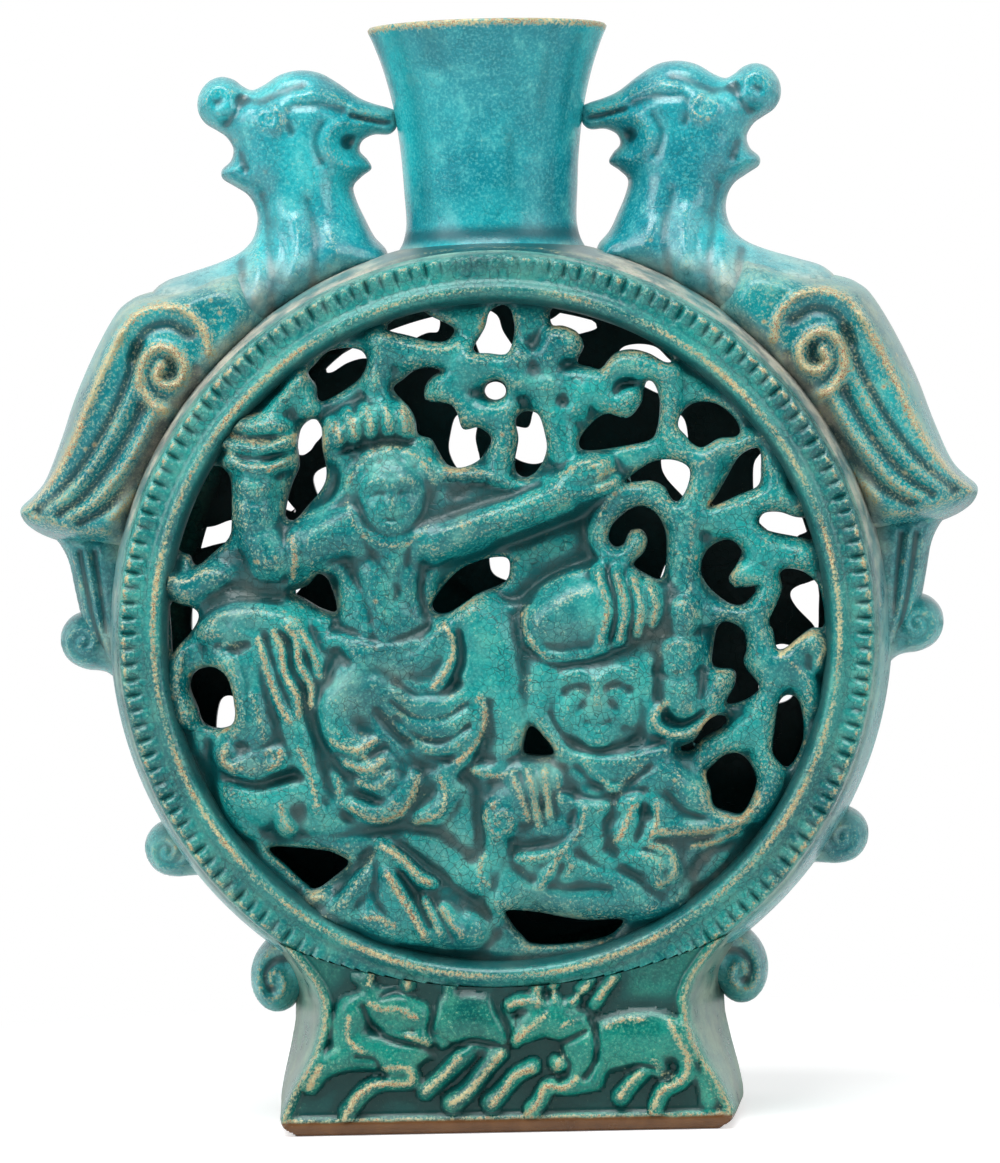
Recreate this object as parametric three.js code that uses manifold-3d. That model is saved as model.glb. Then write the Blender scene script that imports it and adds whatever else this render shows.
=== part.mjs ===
// A pierced moon-flask vase: a flat drum of two pressed halves with a pierced picture panel and a
// beaded ring on each side, a thrown neck, two phoenix handles with wings, and a hollow foot.
// The clay pieces are luted together with slip. Millimetres; the front faces -Y, the foot is on Z = 0.
import * as THREE from 'three';
import { mergeVertices } from 'three/addons/utils/BufferGeometryUtils.js';
import Module from 'manifold-3d';

const wasm = await Module();
wasm.setup();

// Slip left in every luted joint, the overrun of a cut, and the number of flats on a round piece.
const SLIP_GAP = 0.3;
const CUT_OVERRUN = 1;
const ROUND_STEPS = 56;
const NECK_STEPS = 36;

// Drum halves: outside radius at the mould seam, its loss at the open edge, wall and depth.
const DRUM_RADIUS = 118.5;
const DRUM_DRAFT = 5;
const DRUM_WALL = 7;
const DRUM_HALF_DEPTH = 38;
const SWELL_PLACE = 0.55;
const SWELL_LOSS = 0.35;

// Beaded ring: it laps the drum's edge and holds the panel in a rebate behind its inner lip.
const RING_SETBACK = 1;
const RING_BEAD_BAND = 7.5;
const RING_CREST_WIDTH = 7.5;
const RING_REBATE = 2;
const RING_BAND_HEIGHT = 5.5;
const RING_CREST_HEIGHT = 8.2;
const RING_LIP_SLOPE = 1;
const RING_LIP_HEIGHT = 3;
const RING_EDGE_ROUND = 2;

// Pierced panel, set behind the ring with its back edge thinned.
const PANEL_THICKNESS = 6.5;
const PANEL_EDGE = 3;
const PANEL_THINNING_SHARE = 0.5;

// Neck: outside radius and height over the drum's top at each ring of the thrown wall.
const NECK_WALL = 5;
const NECK_BASE_RADIUS = 25.5;
const NECK_WAIST_RADIUS = 26.7;
const NECK_SHOULDER_RADIUS = 31;
const NECK_RIM_RADIUS = 36.3;
const NECK_HEIGHT = 63.5;
const NECK_SEAT = 8;
const NECK_COLLAR = 4;
const WAIST_SHARE = 0.36;
const SHOULDER_SHARE = 0.79;

// Foot: the height of the drum's lowest point, how far its plates lap the drum's edge, half-widths
// of the face, draft to the wider seam, wall, hollow and saddle.
const FOOT_RISE = 29.5;
const FOOT_LAP = 8;
const FOOT_TOE = 66.5;
const FOOT_WAIST = 54.3;
const FOOT_SHOULDER = 66;
const FOOT_SIDE_DRAFT = 7;
const FOOT_WAIST_RISE = 39;
const FOOT_TOP_RISE = 58;
const FOOT_WALL = 8;
const FOOT_HOLLOW = 20;
const FOOT_SADDLE_RADIUS = 162;
const FOOT_SADDLE_RISE = 43;
const FOOT_TOE_SPREAD = 0.6;
const FOOT_TOE_SHARE = 0.16;
const FOOT_FLARE_SHARE = 0.5;
const FOOT_NIP_SHARE = 0.82;
const FOOT_NIP_ROUND = 1;
const FOOT_NIP_RISE = 2;
const FOOT_SHOULDER_SPREAD = 0.3;

// Side ornaments: half-thickness at the seam side and how far each face draws in.
const PHOENIX_HALF_DEPTH = 15;
const WING_HALF_DEPTH = 30;
const WING_RIDGE_RISE = 2.2;
const TAIL_HALF_DEPTH = 20;
const SCROLL_HALF_DEPTH = 14;
const SEAM_SHARE = 0.4;
const WING_DRAW_IN = 0.965;
const PHOENIX_DRAW_IN = 0.9;
const SCROLL_DRAW_IN = 0.82;

// Relief: how far the sprigged figures stand out of the panel, and the deer out of the foot.
const HORSE_RISE = 4.5;
const FIGURE_RISE = 9;
const TREE_RISE = 5;
const ROCK_RISE = 7;
const DEER_RISE = 4;

const drumTop = FOOT_RISE + 2 * DRUM_RADIUS;
const drumMiddle = FOOT_RISE + DRUM_RADIUS;
const edgeRadius = DRUM_RADIUS - DRUM_DRAFT;
const rebateRadius = edgeRadius - DRUM_WALL;
const ringOuter = edgeRadius - RING_SETBACK;
const ringCrest = ringOuter - RING_BEAD_BAND - RING_CREST_WIDTH / 2;
const ringInner = ringOuter - RING_BEAD_BAND - RING_CREST_WIDTH;
const ringBack = -DRUM_HALF_DEPTH - SLIP_GAP;
const panelFace = ringBack - RING_REBATE;
const footHalfDepth = DRUM_HALF_DEPTH + FOOT_LAP;

const glaze = { turquoise: 0x1d98a2, deep: 0x14787f, pale: 0x3fb0b5, cream: 0x9fb39a, foot: 0x1a7f86 };

function finish(colour) {
  return new THREE.MeshStandardMaterial({ color: colour, roughness: 0.25, metalness: 0 });
}

// A closed solid from any closed geometry, with its faces turned outwards.
function solid(geometry) {
  const bare = new THREE.BufferGeometry();
  bare.setAttribute('position', geometry.getAttribute('position'));
  bare.setIndex(geometry.getIndex());
  const merged = mergeVertices(bare, 1e-4);
  const places = merged.getAttribute('position').array;
  const corners = merged.getIndex().array;
  const faces = [];
  const a = new THREE.Vector3();
  const b = new THREE.Vector3();
  const c = new THREE.Vector3();
  let volume = 0;
  for (let i = 0; i < corners.length; i += 3) {
    const [p, q, r] = [corners[i], corners[i + 1], corners[i + 2]];
    if (p !== q && q !== r && r !== p) {
      faces.push([p, q, r]);
      a.fromArray(places, 3 * p);
      b.fromArray(places, 3 * q);
      c.fromArray(places, 3 * r);
      volume += a.dot(b.cross(c));
    }
  }
  const outward = volume > 0 ? faces : faces.map(([p, q, r]) => [p, r, q]);
  return new wasm.Manifold(new wasm.Mesh({
    numProp: 3,
    vertProperties: new Float32Array(places),
    triVerts: new Uint32Array(outward.flat()),
  }));
}

function join(solids) {
  return solids.reduce((whole, next) => whole.add(next));
}

function mesh(name, body, colour) {
  const { vertProperties, triVerts, numProp } = body.getMesh();
  const geometry = new THREE.BufferGeometry();
  const places = new THREE.BufferAttribute(new Float32Array(vertProperties), numProp);
  geometry.setAttribute('position', places);
  geometry.setIndex(new THREE.BufferAttribute(new Uint32Array(triVerts), 1));
  const piece = new THREE.Mesh(geometry, finish(colour));
  piece.name = name;
  return piece;
}

// A ring or disc turned about the drum's axis; its profile holds [radius, y] pairs.
function turnedOnDrum(profile) {
  const outline = profile.map(([radius, y]) => new THREE.Vector2(radius, y));
  const turned = new THREE.LatheGeometry([...outline, outline[0]], ROUND_STEPS);
  return solid(turned.translate(0, 0, drumMiddle));
}

// A piece turned about the neck's axis; its profile holds [radius, z] pairs.
function turnedOnNeck(profile) {
  const outline = profile.map(([radius, z]) => new THREE.Vector2(radius, z));
  const turned = new THREE.LatheGeometry([...outline, outline[0]], NECK_STEPS);
  return solid(turned.rotateX(Math.PI / 2));
}

// A straight bar of round section along Y, centred over the middle of the vase.
function barAlongDepth(radius, height, halfDepth) {
  const bar = new THREE.CylinderGeometry(radius, radius, 2 * halfDepth, 2 * ROUND_STEPS);
  return solid(bar.translate(0, 0, height));
}

// A closed skin over matching loops of points, with both end loops capped.
function loft(loops, flatLoop) {
  const count = flatLoop.length;
  const backwards = THREE.ShapeUtils.isClockWise(flatLoop);
  const ahead = (loop) => (backwards ? [...loop].reverse() : loop);
  const places = loops.flatMap(ahead).flatMap((point) => [point.x, point.y, point.z]);
  const faces = [];
  for (let ring = 0; ring + 1 < loops.length; ring += 1) {
    for (let i = 0; i < count; i += 1) {
      const here = ring * count + i;
      const beside = ring * count + (i + 1) % count;
      faces.push(here, beside, here + count);
      faces.push(beside, beside + count, here + count);
    }
  }
  const last = (loops.length - 1) * count;
  for (const [p, q, r] of THREE.ShapeUtils.triangulateShape(ahead(flatLoop), [])) {
    faces.push(p, r, q);
    faces.push(last + p, last + q, last + r);
  }
  const skin = new THREE.BufferGeometry();
  skin.setAttribute('position', new THREE.Float32BufferAttribute(places, 3));
  skin.setIndex(faces);
  return solid(skin);
}

// Sections of a pressed piece, each an outline of [x, z] points at its own depth.
function pressed(sections) {
  const loops = sections.map(({ y, outline }) => outline.map(([x, z]) => new THREE.Vector3(x, y, z)));
  const flatLoop = sections[0].outline.map(([x, z]) => new THREE.Vector2(x, z));
  return loft(loops, flatLoop);
}

// A smooth closed outline through hand-placed [x, z] points.
function smoothOutline(points, stepsPerPoint = 2) {
  const places = points.map(([x, z]) => new THREE.Vector3(x, 0, z));
  const curve = new THREE.CatmullRomCurve3(places, true, 'centripetal');
  const around = curve.getPoints(points.length * stepsPerPoint).slice(0, -1);
  return around.map((place) => [place.x, place.z]);
}

function drawnIn(outline, [middleX, middleZ], share) {
  return outline.map(([x, z]) => [middleX + (x - middleX) * share, middleZ + (z - middleZ) * share]);
}

// A side ornament pressed in a two-part mould: full at its seam, drawn in at both faces.
function ornament(outline, middle, halfDepth, share) {
  const face = drawnIn(outline, middle, share);
  const shoulder = halfDepth * SEAM_SHARE;
  return pressed([
    { y: -halfDepth, outline: face },
    { y: -shoulder, outline },
    { y: shoulder, outline },
    { y: halfDepth, outline: face },
  ]);
}

// A place on the side of the drum: degrees above the drum's middle, and height over its wall in
// hundredths of the drum's radius.
function besideDrum([degrees, height]) {
  const angle = THREE.MathUtils.degToRad(degrees);
  const reach = DRUM_RADIUS * (1 + height / 100);
  return [reach * Math.cos(angle), drumMiddle + reach * Math.sin(angle)];
}

// The drum's outside, as [radius, depth from the seam] pairs: a gentle swell that draws in to its edge.
function drumSwell(joint) {
  return [
    [DRUM_RADIUS + joint, 0],
    [DRUM_RADIUS - DRUM_DRAFT * SWELL_LOSS + joint, DRUM_HALF_DEPTH * SWELL_PLACE],
    [edgeRadius + joint, DRUM_HALF_DEPTH],
    [edgeRadius + joint, DRUM_HALF_DEPTH + joint],
  ];
}

// The drum as it cuts its neighbours, with a joint of slip all round.
function drumCore(joint) {
  const back = drumSwell(joint);
  const front = back.map(([radius, depth]) => [radius, -depth]).reverse();
  const depth = DRUM_HALF_DEPTH + joint;
  return turnedOnDrum([[0, -depth], ...front.slice(0, -1), ...back, [0, depth]]);
}

// Both panels and the room between them, as they cut the foot's plates.
function panelCore(joint) {
  const depth = joint - panelFace;
  const radius = rebateRadius + joint;
  return turnedOnDrum([[0, -depth], [radius, -depth], [radius, depth], [0, depth]]);
}

function neckRings(inset) {
  const top = drumTop + NECK_HEIGHT;
  return [
    [NECK_BASE_RADIUS - inset, drumTop - NECK_SEAT],
    [NECK_BASE_RADIUS - inset, drumTop + NECK_COLLAR],
    [NECK_WAIST_RADIUS - inset, drumTop + WAIST_SHARE * NECK_HEIGHT],
    [NECK_SHOULDER_RADIUS - inset, drumTop + SHOULDER_SHARE * NECK_HEIGHT],
    [NECK_RIM_RADIUS - inset, top],
  ];
}

function neck() {
  const outside = neckRings(0);
  const inside = neckRings(NECK_WALL).reverse();
  return turnedOnNeck([...outside, ...inside]).subtract(drumCore(SLIP_GAP));
}

// The neck's bore, carried down through the top of the drum.
function neckBore() {
  const bore = NECK_BASE_RADIUS - NECK_WALL;
  const top = drumTop + CUT_OVERRUN;
  return turnedOnNeck([[0, drumMiddle], [bore, drumMiddle], [bore, top], [0, top]]);
}

function shell() {
  const seam = -SLIP_GAP / 2;
  const outside = drumSwell(0).slice(1, 3).map(([radius, depth]) => [radius, -depth]);
  const half = turnedOnDrum([
    [DRUM_RADIUS, seam],
    ...outside,
    [rebateRadius, -DRUM_HALF_DEPTH],
    [DRUM_RADIUS - DRUM_WALL, seam],
  ]);
  return half.subtract(neckBore());
}

// The foot's outline at the face, or at the wider seam, with an even joint of slip added.
function footOutline(widening, joint) {
  const right = [
    [FOOT_TOE + widening * FOOT_TOE_SPREAD, 0],
    [FOOT_TOE + widening * FOOT_TOE_SPREAD, FOOT_RISE * FOOT_TOE_SHARE],
    [(FOOT_TOE + FOOT_WAIST) / 2 + widening, FOOT_WAIST_RISE * FOOT_FLARE_SHARE],
    [FOOT_WAIST + FOOT_NIP_ROUND + widening, FOOT_WAIST_RISE * FOOT_NIP_SHARE],
    [FOOT_WAIST + FOOT_NIP_ROUND + widening, FOOT_WAIST_RISE + FOOT_NIP_RISE],
    [FOOT_SHOULDER + widening * FOOT_SHOULDER_SPREAD, FOOT_TOP_RISE],
  ];
  const grown = right.map(([x, z]) => [x + joint, z]);
  const left = grown.map(([x, z]) => [-x, z]).reverse();
  return [...grown, ...left];
}

function footBlock(joint) {
  const depth = footHalfDepth + joint;
  const face = footOutline(0, joint);
  const seam = footOutline(FOOT_SIDE_DRAFT, joint);
  return pressed([{ y: -depth, outline: face }, { y: 0, outline: seam }, { y: depth, outline: face }]);
}

function footSaddle(joint) {
  return barAlongDepth(FOOT_SADDLE_RADIUS - joint, FOOT_SADDLE_RISE + FOOT_SADDLE_RADIUS, DRUM_RADIUS);
}

function foot() {
  const toe = FOOT_TOE - FOOT_WALL;
  const top = FOOT_WAIST - FOOT_WALL;
  const below = -CUT_OVERRUN;
  const hollow = [[toe, below], [top, FOOT_HOLLOW], [-top, FOOT_HOLLOW], [-toe, below]];
  const depth = footHalfDepth - FOOT_WALL;
  const underside = pressed([{ y: -depth, outline: hollow }, { y: depth, outline: hollow }]);
  const plates = footBlock(0).subtract(footSaddle(0)).subtract(underside);
  return plates.subtract(drumCore(SLIP_GAP)).subtract(panelCore(SLIP_GAP));
}

function ring() {
  const band = ringBack - RING_BAND_HEIGHT;
  const crest = ringBack - RING_CREST_HEIGHT;
  const rebate = ringBack - RING_REBATE;
  const lip = rebateRadius + SLIP_GAP;
  const whole = turnedOnDrum([
    [ringInner, rebate - SLIP_GAP],
    [ringInner + RING_LIP_SLOPE, rebate - RING_LIP_HEIGHT],
    [ringCrest, crest],
    [ringCrest + RING_CREST_WIDTH / 2, band],
    [ringOuter - RING_EDGE_ROUND, band],
    [ringOuter, band + RING_EDGE_ROUND],
    [ringOuter, ringBack],
    [lip, ringBack],
    [lip, rebate - SLIP_GAP],
  ]);
  return whole.subtract(footBlock(SLIP_GAP).subtract(footSaddle(SLIP_GAP)));
}

// The picture is drawn from its middle, in hundredths of the radius inside the ring.
function onPanel([x, z, radius = 0]) {
  const hundredth = ringInner / 100;
  return [x * hundredth, drumMiddle + z * hundredth, radius * hundredth];
}

// Piercings between the figures, each an outline of [x, z] points.
const PIERCINGS = [
  [[-31.6, 93.3], [-26.3, 97.4], [-21.2, 98.6], [-11.1, 93], [-13.8, 88.8], [-24.4, 90.9]],
  [[3.9, 99.5], [7.5, 94.4], [6.7, 87.2], [4.7, 84.5], [-5.1, 85.9], [0, 97.4]],
  [[18.5, 96.9], [25.6, 98.2], [38.6, 93.8], [55.4, 81.3], [42.9, 85.1], [33.6, 79.5], [26.5, 81.5],
    [28.5, 86.5], [22.6, 92.7]],
  [[-44.3, 87.6], [-37.9, 84.6], [-41.9, 76.5], [-51.3, 71.8], [-55.6, 80.2], [-49.6, 86.6]],
  [[-29.7, 74.7], [-23.2, 80.2], [-14.8, 79.7], [-20.1, 74.9], [-12.7, 69.7], [-8.7, 62.1], [-0.2, 58.9],
    [-5.5, 51.7], [-13.9, 51.5], [-22.5, 60.8]],
  [[-2.1, 73.7], [1.4, 76.7], [4.9, 73.7], [1.4, 70.8]],
  [[11.7, 67], [16.1, 60.1], [14.2, 49.7], [8.2, 47.7], [8, 58.8], [7.3, 64.1]],
  [[47.6, 75.4], [51.2, 69.2], [48, 57.5], [30.1, 54.7], [27.1, 59.2], [35.6, 65.6], [41.3, 64.3]],
  [[56.6, 61.5], [61.9, 68.4], [73.5, 63.8], [73.8, 57.8], [63.9, 54.9]],
  [[78.1, 53.8], [81.4, 48.1], [80.5, 42.9], [65.7, 36.6], [71.3, 45.9]],
  [[39.9, 44.8], [48.9, 50.9], [59.7, 48.5], [56.3, 38.8], [48.1, 45]],
  [[44.8, 37.4], [51.9, 30.1], [50.1, 15.2], [42.2, 19.7], [46.6, 27.2], [41.2, 29.9], [36.6, 25.3],
    [36, 32]],
  [[80.6, 31.5], [86.7, 34.7], [95.8, 32.1], [96.7, 26.1], [83.5, 29]],
  [[70.5, 26.7], [75.1, 22.5], [71, 14.9], [79.7, 12.2], [74.6, 6.8], [65.2, 11.9], [63.2, 21.1]],
  [[86.6, 16.2], [94.6, 15.8], [97.9, 4.1], [95.7, -0.9], [85.1, -6.6], [82.9, 1.6]],
  [[67.6, 0.7], [75.2, -1.8], [75, -11.4], [79.4, -17.9], [69.3, -22.7], [71.9, -13.1], [65.8, -11.7]],
  [[88, -21], [92.3, -30.4], [87.9, -43], [83.1, -37.7], [85.3, -23.4]],
  [[69.2, -27.2], [57.6, -37.2], [54.3, -36.3], [62.8, -28.9]],
  [[68.6, -38.8], [77.4, -44.1], [73.5, -56.5], [64.9, -54.1], [62.8, -44.5]],
  [[-84, 52.7], [-79.8, 47.3], [-81, 30.6], [-91.1, 22.4], [-96.4, 28.7], [-91.8, 44.5]],
  [[-54.7, 66.2], [-51.5, 56.5], [-52.1, 45.1], [-63.4, 36.3], [-59, 52.2], [-58.2, 63.6]],
  [[-53.8, 19], [-48.5, 7.8], [-61.6, 13.6]],
  [[3.4, 22.7], [2.5, 15.1], [-18.4, 6.6], [-12, 18.5]],
  [[-97.4, 10.8], [-90.7, 6.8], [-97.9, -3.1]],
  [[-87.2, -8.5], [-81.1, -14.4], [-81.1, -26.2], [-90.3, -25.5], [-94.1, -14.5]],
  [[9.9, -28.5], [16.6, -37.1], [8.2, -37]],
  [[-70.9, -64.1], [-49.9, -66.8], [-57.1, -77.1], [-65.6, -70.3]],
  [[1.1, -84.8], [18.6, -87.3], [35.6, -88.2], [25.2, -94.9], [8.5, -95.2]],
];

function piercings() {
  const reach = DRUM_HALF_DEPTH;
  return join(PIERCINGS.map((points) => {
    const outline = smoothOutline(points.map(onPanel));
    return pressed([{ y: panelFace - reach, outline }, { y: panelFace + reach, outline }]);
  }));
}

function panel(holes) {
  const back = panelFace + PANEL_THICKNESS;
  const thinned = rebateRadius - DRUM_WALL * PANEL_THINNING_SHARE;
  const outside = rebateRadius - SLIP_GAP;
  const disc = turnedOnDrum([
    [0, panelFace],
    [outside, panelFace],
    [outside, panelFace + PANEL_EDGE],
    [thinned, back],
    [0, back],
  ]);
  return disc.subtract(holes);
}

const STROKE_SIDES = 6;
const STROKE_STEPS = 2;

// A modelled roll of clay along [x, z, radius] points, rounded at both ends and centred on a plane.
function roll(points, plane, rise) {
  const places = points.map(([x, z, radius]) => new THREE.Vector3(x, radius, z));
  const curve = new THREE.CatmullRomCurve3(places, false, 'centripetal');
  const spine = curve.getPoints((points.length - 1) * STROKE_STEPS);
  const along = spine.map((_, i) => {
    const step = spine[Math.min(i + 1, spine.length - 1)].clone().sub(spine[Math.max(i - 1, 0)]);
    return step.setY(0).normalize();
  });
  const stations = spine.map((place, i) => ({ place, heading: along[i], share: 1 }));
  const endLift = Math.cos(Math.PI / 6);
  const first = { place: spine[0], heading: along[0], share: 0.5, shift: -endLift };
  const last = { place: spine.at(-1), heading: along.at(-1), share: 0.5, shift: endLift };
  const loops = [first, ...stations, last].map(({ place, heading, share, shift = 0 }) => {
    const radius = place.y;
    const middle = new THREE.Vector3(place.x, plane, place.z).addScaledVector(heading, shift * radius);
    const sideways = new THREE.Vector3(heading.z, 0, -heading.x);
    return Array.from({ length: STROKE_SIDES }, (_, i) => {
      const turn = (2 * Math.PI * (i + 0.5)) / STROKE_SIDES;
      const point = middle.clone().addScaledVector(sideways, Math.cos(turn) * radius * share);
      point.y -= Math.sin(turn) * rise * share;
      return point;
    });
  });
  const flatLoop = Array.from({ length: STROKE_SIDES }, (_, i) => {
    const turn = (2 * Math.PI * (i + 0.5)) / STROKE_SIDES;
    return new THREE.Vector2(Math.cos(turn), Math.sin(turn));
  });
  return loft(loops, flatLoop);
}

// Everything behind a plane, for cutting a relief flat where it is luted on.
function behind(plane) {
  const depth = 2 * DRUM_RADIUS;
  const block = new THREE.BoxGeometry(4 * DRUM_RADIUS, depth, 4 * DRUM_RADIUS);
  return solid(block.translate(0, plane + depth / 2, drumMiddle));
}

// A sprigged relief: rolls of clay joined, grown by a joint if it cuts a neighbour, and cut flat.
function relief(rolls, plane, rise, joint = 0) {
  const whole = join(rolls.map((points) => {
    const grown = points.map(([x, z, radius]) => [x, z, radius + joint]);
    return roll(grown, plane, rise + joint);
  }));
  return whole.subtract(behind(plane - SLIP_GAP + joint));
}

function drawn(rolls) {
  return rolls.map((points) => points.map(onPanel));
}

// Rolls of each figure, as [x, z, radius] points of the picture.
const RIDER = [
  [[-30.8, 24.6, 11.3], [-32.8, 10.3, 14.4], [-33.8, -2.1, 13.3]],
  [[-30.3, 39, 12.8], [-30.3, 44.1, 12.8]],
  [[-48.2, 59.5, 4.1], [-36.4, 61, 7.2], [-24.6, 62.1, 4.6]],
  [[-43.1, 32.8, 8.2], [-57.4, 26.7, 8.7], [-66.7, 25.6, 8.7]],
  [[-68.2, 26.7, 8.7], [-71.3, 39, 8.2], [-70.3, 50.3, 8.7], [-70.2, 59.5, 9.2]],
  [[-66.7, 64.6, 2.7], [-61.5, 72.8, 2.5], [-56.9, 79, 2.1]],
  [[-20.5, 28.7, 8.2], [-4.1, 33.8, 6.2], [7.6, 35.9, 6.2], [21.5, 41.7, 5.6], [32.8, 46.2, 4.6]],
  [[-36.9, -4.1, 13.3], [-45.1, -18.5, 11.3], [-46.2, -24.6, 9.7]],
  [[-46.2, -26.7, 9.2], [-41, -40, 7.7], [-33.8, -47.2, 6.7]],
  [[-34.9, -47.2, 6.2], [-25.6, -46.2, 4.1]],
  [[-26.7, -2.1, 12.3], [-16.4, -18.5, 12.3], [-12.3, -31.8, 9.2], [-15.4, -45.1, 5.1]],
];
const HORSE = [
  [[-80, 1, 10.3], [-79, -10.3, 10.8], [-74.9, -26.7, 9.2], [-73.8, -36.9, 8.7]],
  [[-73.8, -2.1, 9.2], [-62.6, -8.2, 10.3]],
  [[-62.6, -6.2, 9.2], [-59.5, -26.7, 12.3]],
  [[-59.5, -26.7, 12.3], [-67.7, -45.1, 12.3], [-72.8, -51.3, 9.2]],
  [[-59.5, -26.7, 13.3], [-36.9, -22.6, 15.4], [-10.3, -9.2, 10.3]],
  [[-6.2, -9.2, 8.2], [0, -18.5, 6.2], [2.1, -29.7, 5.1], [0, -41, 4.6]],
  [[-61.5, -45.1, 10.3], [-51.3, -51.3, 6.2], [-41, -55.4, 4.6]],
];
const GROOM = [
  [[13.3, 1, 7.7], [24.6, 4.1, 12.3], [36.9, 7.2, 11.3], [46.2, 6.2, 8.2]],
  [[30.8, -19.5, 13.3], [30.8, -14.4, 13.3]],
  [[56.4, 4.1, 5.1], [54.9, -8.2, 8.2], [55.4, -18.5, 7.2], [51.3, -30.8, 7.7]],
  [[22.6, -30.8, 6.2], [34.9, -31.8, 8.2], [47.2, -32.8, 8.2]],
  [[30.8, -34.9, 13.3], [31.8, -51.3, 15.4], [28.7, -67.7, 16.4]],
  [[22.6, -45.1, 8.2], [9.2, -50.3, 9.2]],
  [[8.2, -50.3, 9.2], [6.2, -58.5, 8.2]],
  [[28.7, -65.6, 15.4], [45.1, -66.7, 12.3], [59.5, -61.5, 8.2], [71.8, -58.5, 3.6]],
  [[20.5, -69.7, 12.3], [23.6, -76.9, 8.2]],
  [[24.6, -77.9, 8.2], [43.1, -79, 8.2]],
];
const ROCKS = [
  [[-33.8, -66.7, 4.1], [-33.8, -77.9, 9.2], [-34.9, -87.2, 9.2]],
  [[-49.2, -85.1, 5.1], [-30.8, -87.2, 8.2], [-12.3, -89.2, 5.1]],
];
const TREE = [
  [[57.4, 13.3, 3.6], [58.5, 24.6, 3.6], [61.5, 39, 4.1], [65.1, 51.3, 3.1], [56.4, 54.4, 2.6],
    [53.8, 65.6, 2.6], [53.3, 75.9, 3.1], [46.2, 79, 3.6], [39, 74.9, 6.2], [28.7, 72.8, 5.1],
    [17.4, 74.9, 6.2], [6.2, 80, 4.1], [-5.1, 80, 4.6]],
  [[22.6, 86.2, 5.1], [18.5, 75.9, 5.1]],
  [[17.4, 71.8, 4.1], [4.1, 66.7, 3.6]],
];

// Rolls of the two running deer, in hundredths of the foot's half-width across and of its rise up.
const DEER_LEFT = [
  [[-58.6, 91.5, 23.7], [-39.1, 88.1, 27.1], [-16.5, 108.5, 30.5]],
  [[-63.2, 111.9, 16.9], [-48.1, 120.3, 20.3], [-34.6, 96.6, 11.9]],
  [[-57.1, 81.4, 13.6], [-66.2, 44.1, 10.2], [-72.2, 27.1, 10.2]],
  [[-63.2, 84.7, 13.6], [-75.2, 67.8, 10.2], [-85.7, 50.8, 10.2]],
  [[-21.1, 91.5, 13.6], [-33.1, 44.1, 8.8]],
  [[-9, 91.5, 13.6], [-21.1, 33.9, 9.5]],
  [[-52.6, 132.2, 8.1], [-57.9, 155.9, 6.8]],
  [[-45.1, 132.2, 8.1], [-41.4, 149.2, 6.8]],
];
const DEER_RIGHT = [
  [[31.6, 81.4, 23.7], [54.1, 84.7, 33.9], [70.7, 78, 30.5]],
  [[33.1, 101.7, 20.3], [19.5, 110.2, 20.3], [7.5, 94.9, 10.2]],
  [[27.1, 74.6, 13.6], [9, 61, 10.2], [-4.5, 32.2, 8.8]],
  [[33.1, 61, 13.6], [18, 44.1, 9.5], [10.5, 27.1, 9.5]],
  [[60.2, 61, 13.6], [51.9, 33.9, 8.8]],
  [[75.2, 64.4, 13.6], [70.7, 40.7, 9.5], [65.4, 27.1, 9.5]],
  [[24.1, 122, 8.1], [21.8, 139, 6.8]],
  [[28.6, 118.6, 8.1], [37.6, 130.5, 6.8], [46.6, 142.4, 6.1]],
  [[78.2, 88.1, 10.2], [82.7, 101.7, 6.8]],
];

function onFoot([x, z, radius]) {
  return [(x * FOOT_TOE) / 100, (z * FOOT_RISE) / 100, (radius * FOOT_RISE) / 100];
}

function deer(rolls) {
  return relief(rolls.map((points) => points.map(onFoot)), -footHalfDepth, DEER_RISE);
}

// Outline of a phoenix head and neck, from beak to crest to chest, in hundredths of the vase neck's
// height: [x out from the neck's waist, z over the drum's top].
const PHOENIX = [
  [-3.1, 58.3], [5.5, 62.4], [18.9, 67.4], [29.6, 74.8], [46.9, 81.1], [60.3, 78.7], [70.6, 72.4],
  [76.4, 76.4], [85, 78.4], [93.4, 74.8], [96.9, 66.6], [93.4, 57.5], [83.9, 52],
  [80, 43.3], [86.6, 33.1], [73.7, 22.8], [69.6, 10.2],
];
const PHOENIX_THROAT = [
  [14, 1.6], [20.9, 17.3], [23.3, 25.7], [14.3, 33.9], [19.7, 42.5], [12.6, 50.1], [-3.1, 50.1],
];
const PHOENIX_MIDDLE = [41, 38];

// Angles where wing meets phoenix and tail, with heights there in hundredths of the drum's radius.
const WING_JOINT = 52.4;
const WING_TOP_SHARE = 17.7;
const TAIL_JOINT = 11.5;
const TAIL_TOP_SHARE = 12.2;
const SEAT_SINK_SHARE = -6.8;
const CHEST_ROUND = [55.5, 12.7];
const BREAST_SEAT = 76;
const WING_SEAT = [25, 40];
const TAIL_STEP_SHARE = 0.4;
const jointAngle = THREE.MathUtils.radToDeg(SLIP_GAP / DRUM_RADIUS);

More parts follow.
